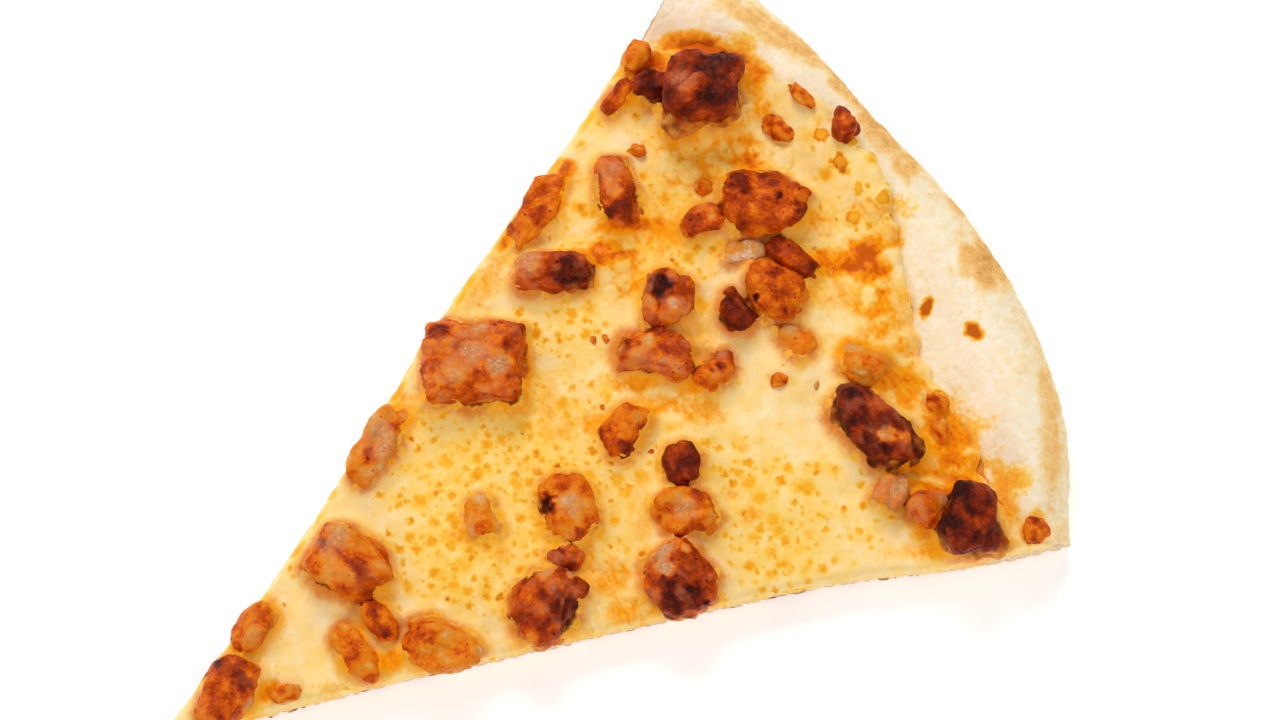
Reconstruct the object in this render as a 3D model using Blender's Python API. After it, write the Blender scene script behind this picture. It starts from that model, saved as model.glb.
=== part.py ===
"""A slice of chicken pizza, one eighth of a 14-inch round.

A thin dough base with a low rim carries a layer of sauce, a layer of melted cheese and diced chicken.
The tip points along -Y and the rim lies at +Y. Sizes are in metres.
"""

import math
import random
from collections import namedtuple

import bmesh
import bpy
from mathutils import Matrix, Vector, noise

MM = 0.001

# The plan: two knife cuts from the tip, and the round outer edge.
HALF_ANGLE = math.radians(22.25)
# Distance from the tip at even steps, from the right-hand cut round to the left-hand one.
RIM_RADII = [r * MM for r in (166.5, 172.5, 175, 175, 174, 176, 177)]
CHEESE_RADII = [r * MM for r in (164, 156.5, 156, 156, 155, 158.5, 162.5, 167.5, 169, 168.5, 165, 163.5, 155.5)]
# How far each cut runs inside its straight line, at even steps from the tip to the rim.
RIGHT_CUT_INSET = [d * MM for d in (0, 1.6, 2.4, 2.5, 2.7, 2.8, 2.5, 0.3, 0)]
LEFT_CUT_INSET = [d * MM for d in (0, 0.9, 0.9, 0.3, -0.8, -0.4, 0.3, 0.1, 0)]

# The dough, from its flat middle to the rounded outer edge of the rim.
BASE_THICKNESS = 4.5 * MM
RIM_HEIGHT = 9.5 * MM
RIM_WIDTH = 20 * MM
RIM_CREST_INSET = 7.5 * MM
RIM_BUMP = 0.9 * MM
RIM_BUMP_SPACING = 17 * MM
OUTER_EDGE_TOP = 3.4 * MM
OUTER_EDGE_BOTTOM = 1.8 * MM
TOE_WIDTH = 4 * MM

# The layers above it. Neighbouring solids keep this gap.
GAP = 0.3 * MM
SAUCE_THICKNESS = 0.7 * MM
SAUCE_FRINGE_THICKNESS = 0.3 * MM
CHEESE_THICKNESS = 2.5 * MM
CHEESE_EDGE_THICKNESS = 0.7 * MM
CHEESE_EDGE_TAPER = 6 * MM
CHEESE_SWELL = 0.55 * MM
CHEESE_SWELL_SPACING = 16 * MM
CHEESE_RIPPLE = 0.3 * MM
CHEESE_RIPPLE_SPACING = 6 * MM
BUBBLE_COUNT = 60
BUBBLE_HEIGHT = 0.8 * MM
BUBBLE_RADIUS = (1.8 * MM, 3.4 * MM)
SEAT_THICKNESS = 1.7 * MM
SEAT_MARGIN = 1.8 * MM
SEAT_SLOPE = 3.5 * MM

# The plan lattice: row n holds n + 1 points, so that the cells stay about even from tip to rim.
CHEESE_ROWS = 52
RIM_ROWS = 9
SAUCE_ROWS = CHEESE_ROWS + 1

# Diced chicken. Aside is to the right of the centre line and along is the distance from the tip.
# Turn is the angle of its length from +X. Square is 2 for an ellipsoid, and more for a boxy dice.
Dice = namedtuple("Dice", "name aside along length width height turn square")
CHICKEN = [
    Dice("chicken_tip", -0.5, 15.5, 14.5, 9, 6, -61, 3),
    Dice("chicken_left_low", -7, 25.5, 11, 6, 5, -68, 3),
    Dice("chicken_low_sliver_outer", 7.5, 38, 12, 5.5, 5, 0, 3),
    Dice("chicken_low_sliver_inner", 4, 44.5, 8.5, 4.5, 5, 0, 3),
    Dice("chicken_low_left", -6.5, 45.5, 16.5, 13, 7, 20, 3.5),
    Dice("chicken_low_wedge", 15, 51, 14, 11, 6, 35, 2.6),
    Dice("chicken_left_mid", -22.5, 62.5, 16.5, 7, 5, -65, 2.8),
    Dice("chicken_left_large", -24, 84.5, 19.5, 18, 8, 55, 5),
    Dice("chicken_left_log", -30.5, 106, 15.5, 7.5, 6, 52, 3),
    Dice("chicken_left_upper", -42, 110.5, 17, 7, 5, -71, 2.8),
    Dice("chicken_upper_finger", -36, 124, 14.5, 8.5, 6, -23, 3),
    Dice("chicken_middle_knob", -14.5, 120, 11.5, 10, 7, -35, 3),
    Dice("chicken_middle_slab", -7.5, 112.5, 16.5, 9.5, 6, 47, 3),
    Dice("chicken_middle_small", 1, 119.5, 9.5, 6.5, 5, -84, 2.6),
    Dice("chicken_right_flat", 5, 134.5, 8, 5.5, 3, 4, 3),
    Dice("chicken_centre_nugget", 1, 100, 10, 9, 5, -84, 2.6),
    Dice("chicken_centre_dark", 12.5, 104.5, 8.5, 8, 6, -16, 2.8),
    Dice("chicken_centre_wedge", 20, 100.5, 13, 8.5, 6, 67, 3),
    Dice("chicken_cut_dark", 29, 92.5, 15.5, 13, 7, 0, 3),
    Dice("chicken_low_pale", 7, 83.5, 12.5, 10.5, 6, -25, 3),
    Dice("chicken_low_cap", 14, 78, 7.5, 4.5, 5, 50, 2.6),
    Dice("chicken_low_dark", 19.5, 70, 16.5, 13, 7, -62, 3),
    Dice("chicken_left_flat", -0.5, 70, 8.5, 6.5, 3, -29, 2.6),
    Dice("chicken_upper_orange", -19, 144.5, 16.5, 12.5, 8, 47, 3.2),
    Dice("chicken_upper_tail", -8.5, 143, 12.5, 4.5, 5, 19, 2.8),
    Dice("chicken_upper_crumble", -23, 133.5, 10, 6, 5, 71, 2.6),
    Dice("chicken_pale_strip", -14, 137, 9.5, 4.5, 3, 50, 3),
    Dice("chicken_right_slab", -4.5, 136.5, 12, 11, 8, 29, 4),
    Dice("chicken_right_foot", -5.5, 129, 8.5, 6.5, 6, 9, 2.8),
    Dice("chicken_rim_lump", 15.5, 142, 9.5, 7.5, 5, 24, 2.6),
    Dice("chicken_rim_long", 26.5, 136.5, 20, 11.5, 8, 12, 3),
    Dice("chicken_rim_cube", 37, 132.5, 7, 5.5, 5, -65, 4),
    Dice("chicken_rim_round", 44, 136, 8, 7.5, 6, -65, 2.4),
    Dice("chicken_rim_dark", 50, 139.5, 14, 12, 8, -17, 3.4),
    Dice("chicken_top_large", -43, 147, 18.5, 16, 9, 66, 3),
    Dice("chicken_top_lobe", -49, 140.5, 8, 7.5, 7, 55, 2.4),
    Dice("chicken_top_slice", -55.5, 142, 8, 5.5, 5, -66, 3),
    Dice("chicken_top_crumble", -51.5, 134.5, 8.5, 4.5, 5, -71, 2.6),
]
LARGE_DICE_LENGTH = 9.5 * MM
LARGE_DICE_CELLS = 4
SMALL_DICE_CELLS = 3
LUMPS, LUMP_DEPTH = 1.1, 0.32
CRAGS, CRAG_DEPTH = 2.6, 0.13
DICE_FOOT = 0.5
CORNER_REACH = 1.25
CUT_OVERHANG = 1 * MM
PRESS_ROUNDS = 3

# Crumbs of chicken, small enough to be stuck in the cheese.
Crumb = namedtuple("Crumb", "aside along length width height turn")
CRUMBS = [
    Crumb(-22.5, 165, 7, 5, 4, -17),
    Crumb(-29.5, 155.5, 7, 5, 3, 13),
    Crumb(-31.5, 162, 7, 4.5, 3, 3),
    Crumb(28.5, 149, 4, 3, 2.5, 34),
    Crumb(58, 148.5, 5, 4.5, 3, -56),
    Crumb(5.5, 24, 5, 3, 3, 75),
    Crumb(-28.5, 138, 3.5, 3, 2.5, 10),
    Crumb(-41, 132, 3, 2.5, 2.5, 40),
    Crumb(33, 146.5, 4.5, 3.5, 2.5, -20),
    Crumb(9, 128, 3, 2.5, 2, 60),
]
CRUMB_SINK = 0.35

Spot = namedtuple("Spot", "x y to_rim to_cheese_edge")


def smooth(share):
    """An S-curve from 0 to 1."""
    share = min(max(share, 0.0), 1.0)
    return share * share * (3 - 2 * share)


def along_curve(values, share):
    """A smooth curve through evenly spaced values, read at a share from 0 to 1 of its length."""
    place = min(max(share, 0.0), 1.0) * (len(values) - 1)
    step = min(int(place), len(values) - 2)
    before, start, end, after = (values[min(max(step + n, 0), len(values) - 1)] for n in (-1, 0, 1, 2))
    t = place - step
    linear = end - before
    square = 2 * before - 5 * start + 4 * end - after
    cube = 3 * start - before - 3 * end + after
    return start + 0.5 * t * (linear + t * (square + t * cube))


def bumps(x, y, spacing, seed):
    """Soft noise from -1 to 1, with bumps about one spacing apart."""
    return noise.noise(Vector((x / spacing, y / spacing, seed)))


def spot_at(radius, across):
    """The plan place at this distance from the tip, across from 0 at the right-hand cut to 1 at the left."""
    angle = HALF_ANGLE * (1 - 2 * across)
    rim = along_curve(RIM_RADII, across)
    right = along_curve(RIGHT_CUT_INSET, radius / rim)
    left = along_curve(LEFT_CUT_INSET, radius / rim)
    shift = left * across - right * (1 - across)
    x = radius * math.sin(angle) + shift * math.cos(angle)
    y = radius * math.cos(angle) - shift * math.sin(angle)
    return Spot(x, y, rim - radius, along_curve(CHEESE_RADII, across) - radius)


def spot_near(x, y):
    """The spot at a plan position that is well inside the cuts."""
    across = 0.5 - math.atan2(x, y) / (2 * HALF_ANGLE)
    return spot_at(math.hypot(x, y), across)


def lattice_spot(row, column):
    """A lattice point: even rows under the cheese, then rows that close up towards the rim's outer edge."""
    across = column / row if row else 0.5
    cheese = along_curve(CHEESE_RADII, across)
    if row <= CHEESE_ROWS:
        return spot_at(cheese * row / CHEESE_ROWS, across)
    outward = math.sin(math.pi / 2 * (row - CHEESE_ROWS) / RIM_ROWS)
    return spot_at(cheese + (along_curve(RIM_RADII, across) - cheese) * outward, across)


def dough_top(spot):
    """Flat in the middle, then up to the crest of the rim and round its outer edge."""
    if spot.to_rim >= RIM_WIDTH:
        return BASE_THICKNESS
    crest = RIM_HEIGHT + RIM_BUMP * bumps(spot.x, spot.y, RIM_BUMP_SPACING, 3)
    if spot.to_rim > RIM_CREST_INSET:
        climb = (RIM_WIDTH - spot.to_rim) / (RIM_WIDTH - RIM_CREST_INSET)
        return BASE_THICKNESS + (crest - BASE_THICKNESS) * smooth(climb)
    outward = min(1 - spot.to_rim / RIM_CREST_INSET, 1)
    return OUTER_EDGE_TOP + (crest - OUTER_EDGE_TOP) * math.sqrt(1 - outward**2)


def dough_bottom(spot):
    """Flat, with a rounded toe under the rim's outer edge."""
    outward = min(max(1 - spot.to_rim / TOE_WIDTH, 0), 1)
    return OUTER_EDGE_BOTTOM * (1 - math.sqrt(1 - outward**2))


def sauce_bottom(spot):
    return dough_top(spot) + GAP


def sauce_top(spot):
    """Level under the cheese, and thin where its fringe shows past the cheese."""
    fringe = spot.to_cheese_edge < -GAP
    return sauce_bottom(spot) + (SAUCE_FRINGE_THICKNESS if fringe else SAUCE_THICKNESS)


def cheese_bottom(spot):
    return sauce_bottom(spot) + SAUCE_THICKNESS + GAP


def bubble_places():
    """Where the cheese has risen in bubbles: (x, y, radius) of each."""
    draw = random.Random(14)
    places = []
    for _ in range(BUBBLE_COUNT):
        across = draw.uniform(0.06, 0.94)
        radius = math.sqrt(draw.uniform(0.02, 0.9)) * along_curve(CHEESE_RADII, across)
        spot = spot_at(radius, across)
        places.append((spot.x, spot.y, draw.uniform(*BUBBLE_RADIUS)))
    return places


BUBBLES = bubble_places()


def centre_of(dice):
    return Vector((dice.aside, dice.along)) * MM


def footprint(dice):
    """The corners and centre of a piece of chicken's plan box."""
    turn = Matrix.Rotation(math.radians(dice.turn), 2)
    half = Vector((dice.length, dice.width)) / 2 * MM
    signs = [(0, 0), (1, 1), (1, -1), (-1, 1), (-1, -1)]
    return [centre_of(dice) + turn @ Vector((a * half.x, b * half.y)) for a, b in signs]


def seat_level(dice):
    """Height of the level seat in the cheese: clear of the dough where it starts to climb to the rim."""
    return SEAT_THICKNESS + max(cheese_bottom(spot_near(*corner)) for corner in footprint(dice))


SEAT_LEVELS = {dice.name: seat_level(dice) for dice in CHICKEN}
# The lowest seat comes last, so that it wins where two pieces of chicken lie close together.
HIGHEST_SEAT_FIRST = sorted(CHICKEN, key=lambda dice: -SEAT_LEVELS[dice.name])


def seat_share(spot, dice):
    """1 where the cheese is pressed level under a piece of chicken, and 0 clear of it."""
    turn = math.radians(dice.turn)
    dx = spot.x - dice.aside * MM
    dy = spot.y - dice.along * MM
    lengthwise = abs(dx * math.cos(turn) + dy * math.sin(turn)) - dice.length / 2 * MM
    crosswise = abs(dy * math.cos(turn) - dx * math.sin(turn)) - dice.width / 2 * MM
    outside = math.hypot(max(lengthwise, 0), max(crosswise, 0))
    return 1 - smooth((outside - SEAT_MARGIN) / SEAT_SLOPE)


def cheese_top(spot):
    """Gently swollen and rippled, with bubbles, thinner at its outer edge and level under the chicken."""
    swell = CHEESE_SWELL * bumps(spot.x, spot.y, CHEESE_SWELL_SPACING, 7)
    ripple = CHEESE_RIPPLE * bumps(spot.x, spot.y, CHEESE_RIPPLE_SPACING, 11)
    bubble = 0.0
    for x, y, radius in BUBBLES:
        away = math.hypot(spot.x - x, spot.y - y) / radius
        bubble = max(bubble, BUBBLE_HEIGHT * (1 - smooth(away)))
    edge = math.sqrt(min(max(spot.to_cheese_edge / CHEESE_EDGE_TAPER, 0), 1))
    full = CHEESE_THICKNESS + swell + ripple + bubble
    thickness = CHEESE_EDGE_THICKNESS + (full - CHEESE_EDGE_THICKNESS) * edge
    top = cheese_bottom(spot) + thickness
    for dice in HIGHEST_SEAT_FIRST:
        top += (SEAT_LEVELS[dice.name] - top) * seat_share(spot, dice)
    return top


def material(name, colour, roughness):
    made = bpy.data.materials.new(name)
    made.use_nodes = True
    shader = made.node_tree.nodes["Principled BSDF"]
    shader.inputs["Base Color"].default_value = (*colour, 1)
    shader.inputs["Roughness"].default_value = roughness
    shader.inputs["Metallic"].default_value = 0
    made.diffuse_color = (*colour, 1)
    return made


def place_object(name, mesh, finish, parent):
    """Links a mesh as a named object under its parent, in its material and shaded smooth."""
    mesh.materials.append(finish)
    mesh.shade_smooth()
    mesh.set_sharp_from_angle(angle=math.radians(50))
    placed = bpy.data.objects.new(name, mesh)
    placed.parent = parent
    bpy.context.scene.collection.objects.link(placed)
    return placed


def layer(name, rows, underside, surface, finish, parent):
    """A closed solid on the plan lattice, from the tip out to a row, between two heights."""
    spots = [[lattice_spot(row, column) for column in range(row + 1)] for row in range(rows + 1)]
    bm = bmesh.new()
    low = [[bm.verts.new((s.x, s.y, underside(s))) for s in row] for row in spots]
    high = [[bm.verts.new((s.x, s.y, surface(s))) for s in row] for row in spots]
    for row in range(rows):
        for column in range(row + 1):
            bm.faces.new((high[row][column], high[row + 1][column], high[row + 1][column + 1]))
            bm.faces.new((low[row][column], low[row + 1][column + 1], low[row + 1][column]))
        for column in range(row):
            bm.faces.new((high[row][column], high[row + 1][column + 1], high[row][column + 1]))
            bm.faces.new((low[row][column], low[row][column + 1], low[row + 1][column + 1]))
        bm.faces.new((low[row][0], low[row + 1][0], high[row + 1][0], high[row][0]))
        bm.faces.new((high[row][row], high[row + 1][row + 1], low[row + 1][row + 1], low[row][row]))
    for column in range(rows):
        outer = (low[rows][column], low[rows][column + 1], high[rows][column + 1], high[rows][column])
        bm.faces.new(outer)
    bmesh.ops.recalc_face_normals(bm, faces=bm.faces)
    mesh = bpy.data.meshes.new(name)
    bm.to_mesh(mesh)
    bm.free()
    return place_object(name, mesh, finish, parent)


def lumpy_block(bm, half_size, square, seed):
    """Rounds the cube or ball in bm to a craggy block of this half size."""
    shift = Vector((seed * 7.3, seed * 3.1, seed * 5.7))
    for vert in bm.verts:
        reach = sum(abs(c) ** square for c in vert.co) ** (1 / square)
        unit = vert.co / reach
        swell = LUMP_DEPTH * noise.noise(unit * LUMPS + shift) + CRAG_DEPTH * noise.noise(unit * CRAGS + shift)
        vert.co = unit * (1 + swell)
    for axis in range(3):
        values = [vert.co[axis] for vert in bm.verts]
        low, high = min(values), max(values)
        for vert in bm.verts:
            vert.co[axis] = half_size[axis] * (2 * (vert.co[axis] - low) / (high - low) - 1)


def reach_towards(dice, direction):
    """How far a piece of chicken spreads from its centre in a plan direction."""
    turn = math.radians(dice.turn)
    lengthwise = direction.x * math.cos(turn) + direction.y * math.sin(turn)
    crosswise = direction.y * math.cos(turn) - direction.x * math.sin(turn)
    return math.hypot(dice.length * lengthwise, dice.width * crosswise) / 2 * MM


def contact_planes(dice):
    """Plan planes (point, direction) that this piece stays behind, where a neighbour is pressed on it."""
    planes = []
    for other in CHICKEN:
        between = centre_of(other) - centre_of(dice)
        if other is dice:
            continue
        direction = between.normalized()
        own = reach_towards(dice, direction) * CORNER_REACH
        its = reach_towards(other, -direction) * CORNER_REACH
        if own + its > between.length:
            middle = between.length * own / (own + its)
            planes.append((centre_of(dice) + direction * (middle - GAP / 2), direction))
    return planes


def beyond_cut(point, side):
    """How far a plan point lies past a knife cut. Side is 1 for the right-hand cut and -1 for the left."""
    inset = RIGHT_CUT_INSET if side > 0 else LEFT_CUT_INSET
    share = point.length / RIM_RADII[0 if side > 0 else -1]
    across = side * point.x * math.cos(HALF_ANGLE) - point.y * math.sin(HALF_ANGLE)
    return across + along_curve(inset, share)


def pressed(point, planes):
    """The plan point moved back behind its neighbours' contact planes and the knife cuts."""
    for _ in range(PRESS_ROUNDS):
        for side in (1, -1):
            past = beyond_cut(point, side) - CUT_OVERHANG
            if past > 0:
                point = point - past * Vector((side * math.cos(HALF_ANGLE), -math.sin(HALF_ANGLE)))
        for start, direction in planes:
            past = (point - start).dot(direction)
            if past > 0:
                point = point - past * direction
    return point


def chicken_piece(number, dice, finish, parent):
    """A diced piece of chicken on its seat in the cheese, its foot flat and its sides pressed by neighbours."""
    large = dice.length * MM >= LARGE_DICE_LENGTH
    bm = bmesh.new()
    bmesh.ops.create_cube(bm, size=2)
    cells = LARGE_DICE_CELLS if large else SMALL_DICE_CELLS
    bmesh.ops.subdivide_edges(bm, edges=bm.edges, cuts=cells - 1, use_grid_fill=True)
    body_height = dice.height / (1 + DICE_FOOT)
    half_size = Vector((dice.length / 2, dice.width / 2, body_height)) * MM
    lumpy_block(bm, half_size, dice.square, number + 1)
    foot = -half_size.z * DICE_FOOT
    planes = contact_planes(dice)
    centre = centre_of(dice)
    turn = math.radians(dice.turn)
    turned = Matrix.Rotation(turn, 2)
    for vert in bm.verts:
        plan_point = pressed(centre + turned @ vert.co.xy, planes)
        offset = turned.transposed() @ (plan_point - centre)
        vert.co = Vector((offset.x, offset.y, max(vert.co.z, foot) - foot))
    bmesh.ops.recalc_face_normals(bm, faces=bm.faces)
    mesh = bpy.data.meshes.new(dice.name)
    bm.to_mesh(mesh)
    bm.free()
    piece = place_object(dice.name, mesh, finish, parent)
    piece.location = (centre.x, centre.y, SEAT_LEVELS[dice.name] + GAP)
    piece.rotation_euler.z = turn
    return piece


def crumb_piece(number, crumb, collection):
    """A crumb half sunk in the cheese."""
    bm = bmesh.new()
    bmesh.ops.create_icosphere(bm, subdivisions=2, radius=1)
    half_size = Vector((crumb.length, crumb.width, crumb.height)) / 2 * MM
    lumpy_block(bm, half_size, 2, number + len(CHICKEN) + 1)
    mesh = bpy.data.meshes.new("crumb")
    bm.to_mesh(mesh)
    bm.free()
    placed = bpy.data.objects.new("crumb", mesh)
    spot = spot_near(crumb.aside * MM, crumb.along * MM)
    lift = crumb.height * MM * (0.5 - CRUMB_SINK)
    placed.location = (spot.x, spot.y, cheese_top(spot) + lift)
    placed.rotation_euler.z = math.radians(crumb.turn)
    collection.objects.link(placed)


def fuse_crumbs(cheese):
    """Joins all crumbs to the cheese with one Boolean union."""
    collection = bpy.data.collections.new("crumbs")
    bpy.context.scene.collection.children.link(collection)
    for number, crumb in enumerate(CRUMBS):
        crumb_piece(number, crumb, collection)
    union = cheese.modifiers.new("Crumbs", "BOOLEAN")
    union.operation = "UNION"
    union.operand_type = "COLLECTION"
    union.collection = collection
    union.solver = "EXACT"
    with bpy.context.temp_override(object=cheese, active_object=cheese):
        bpy.ops.object.modifier_apply(modifier=union.name)
    for crumb in list(collection.objects):
        bpy.data.objects.remove(crumb)
    bpy.data.collections.remove(collection)


def centre_on_origin(parent):
    """Moves the parent so that the middle of the slice's underside is at the origin."""
    bpy.context.view_layer.update()
    corners = [piece.matrix_world @ v.co for piece in parent.children for v in piece.data.vertices]
    for axis in (0, 1):
        values = [corner[axis] for corner in corners]
        parent.location[axis] = -(min(values) + max(values)) / 2


def build():
    for old in list(bpy.data.objects):
        bpy.data.objects.remove(old)
    slice_root = bpy.data.objects.new("slice", None)
    bpy.context.scene.collection.objects.link(slice_root)

    dough = material("Baked dough", (0.83, 0.62, 0.36), 0.8)
    sauce = material("Tomato sauce", (0.62, 0.14, 0.02), 0.4)
    cheese = material("Melted mozzarella", (0.92, 0.72, 0.36), 0.35)
    chicken = material("Glazed chicken", (0.38, 0.11, 0.035), 0.4)

    layer("crust", CHEESE_ROWS + RIM_ROWS, dough_bottom, dough_top, dough, slice_root)
    layer("sauce", SAUCE_ROWS, sauce_bottom, sauce_top, sauce, slice_root)
    topping = layer("cheese", CHEESE_ROWS, cheese_bottom, cheese_top, cheese, slice_root)
    fuse_crumbs(topping)

    for number, dice in enumerate(CHICKEN):
        chicken_piece(number, dice, chicken, slice_root)
    centre_on_origin(slice_root)


build()
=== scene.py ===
"""The looks of a slice of chicken pizza: baked dough, sauce, melted cheese and glazed diced chicken.

Pieces replace the model's solids, which are hidden. Places on the slice are given as aside (to the right of the
centre line) and along (distance from the tip), in millimetres. Object data is in metres.
"""

import math
import random
from collections import namedtuple
from functools import partial

import bmesh
import bpy
import numpy as np
from mathutils import Matrix, Vector, noise


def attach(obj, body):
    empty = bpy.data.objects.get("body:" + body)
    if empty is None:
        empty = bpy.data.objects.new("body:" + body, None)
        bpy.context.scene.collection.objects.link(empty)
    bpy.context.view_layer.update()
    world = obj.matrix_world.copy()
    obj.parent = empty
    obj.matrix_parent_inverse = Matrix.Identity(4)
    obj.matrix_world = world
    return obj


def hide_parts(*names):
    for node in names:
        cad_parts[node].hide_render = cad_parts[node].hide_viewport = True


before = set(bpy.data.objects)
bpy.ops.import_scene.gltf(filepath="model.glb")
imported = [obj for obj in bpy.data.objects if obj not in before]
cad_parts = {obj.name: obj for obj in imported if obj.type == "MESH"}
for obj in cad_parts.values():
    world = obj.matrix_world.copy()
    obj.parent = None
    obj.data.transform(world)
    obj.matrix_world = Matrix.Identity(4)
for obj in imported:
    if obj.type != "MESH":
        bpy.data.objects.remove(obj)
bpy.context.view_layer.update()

bl_info = {
    "name": "Chicken pizza slice",
    "version": (1, 0, 0),
    "blender": (4, 5, 0),
    "location": "3D View > Sidebar > Pizza slice",
    "description": "Baked dough, sauce, melted cheese and glazed chicken for one slice of pizza",
    "category": "Object",
}

MM = 0.001

# The plan of the slice, as in its solids: the cuts, the outer edge and the cheese's edge.
HALF_ANGLE = math.radians(22.25)
RIM_RADII = np.array((166.5, 172.5, 175, 175, 174, 176, 177)) * MM
CHEESE_RADII = np.array((164, 156.5, 156, 156, 155, 158.5, 162.5, 167.5, 169, 168.5, 165, 163.5, 155.5)) * MM
RIGHT_CUT_INSET = np.array((0, 1.6, 2.4, 2.5, 2.7, 2.8, 2.5, 0.3, 0)) * MM
LEFT_CUT_INSET = np.array((0, 0.9, 0.9, 0.3, -0.8, -0.4, 0.3, 0.1, 0)) * MM
SAUCE_REACH = 0.04

# Heights, as in the solids.
BASE_THICKNESS = 4.5 * MM
RIM_HEIGHT = 9.5 * MM
RIM_WIDTH = 20 * MM
RIM_CREST_INSET = 7.5 * MM
RIM_BUMP = 0.9 * MM
RIM_BUMP_SPACING = 17 * MM
OUTER_EDGE_TOP = 3.4 * MM
OUTER_EDGE_BOTTOM = 1.8 * MM
TOE_WIDTH = 4 * MM
LAYER_GAP = 0.3 * MM
SAUCE_THICKNESS = 0.7 * MM
CHEESE_THICKNESS = 2.5 * MM
CHEESE_EDGE_THICKNESS = 0.7 * MM
CHEESE_EDGE_TAPER = 6 * MM
CHEESE_SWELL = 0.55 * MM
CHEESE_SWELL_SPACING = 16 * MM
CHEESE_RIPPLE = 0.3 * MM
CHEESE_RIPPLE_SPACING = 6 * MM

# How finely the layers are drawn.
SAUCE_ROWS = 240
CHEESE_WALL_RINGS = 8
UNDERSIDE_ROWS = 190
RIM_COLUMNS = 400
DOUGH_WALL_LEVELS = 13
FINE_RIM_WIDTH = 27 * MM
MERGE_DISTANCE = 0.002 * MM
SKIN, CUT, UNDERSIDE = 0, 1, 2

# How deep the layers reach into what lies under them, so that no gap shows.
SAUCE_SINK = 0.7 * MM
CHEESE_SINK = 0.6 * MM
CHICKEN_SINK = 0.4 * MM

# The fine forms of the layers.
BLISTER_HEIGHT = 0.45 * MM
CURD_SPACING = 3 * MM
CURD_HEIGHT = 0.6 * MM
SHOULDER_WIDTH = 2 * MM
SHOULDER_DROP = 1.5 * MM
CRISPED_WIDTH = 1.4 * MM
WALL_BULGE = 0.45 * MM
WALL_WAVER = 0.25 * MM
SAUCE_WAVER = 0.12 * MM
SAUCE_DIP = 1.7 * MM
WRINKLE_DEPTH = 0.15 * MM
PIT_DEPTH = 0.25 * MM

CHICKEN = sorted(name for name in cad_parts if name.startswith("chicken_"))
CRUST_POINTS = [tuple(vert.co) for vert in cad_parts["crust"].data.vertices]
TIP = Vector(min(CRUST_POINTS, key=lambda point: point[1])).xy

# Crumbs of chicken in the cheese: aside, along, length, width, height, turn in degrees, how brown.
CRUMBS = [
    (-22.5, 165, 7, 5, 4, -17, 0.6), (-29.5, 155.5, 6.5, 4.5, 2.2, 13, 0.4), (-31.5, 162, 6, 2.6, 2.2, 3, 0.36),
    (28.5, 149, 4, 3, 2.5, 34, 0.42), (58, 148.5, 5, 4.5, 3, -56, 0.48), (5.5, 24, 5, 3, 3, 75, 0.3),
    (-28.5, 138, 3.5, 3, 2.5, 10, 0.36), (-41, 132, 3, 2.5, 2.5, 40, 0.4), (33, 146.5, 4.5, 3.5, 2.5, -20, 0.34),
    (9, 128, 3, 2.5, 2, 60, 0.35),
]
CRUMB_SINK = 0.35
CRUMB_SEED = 23

# The plan grid on which the chicken's relief is read, in slice metres.
GRID_CELL = 0.3 * MM
GRID_CORNER = np.array((-75, -6)) * MM
GRID_SHAPE = (500, 640)

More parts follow.
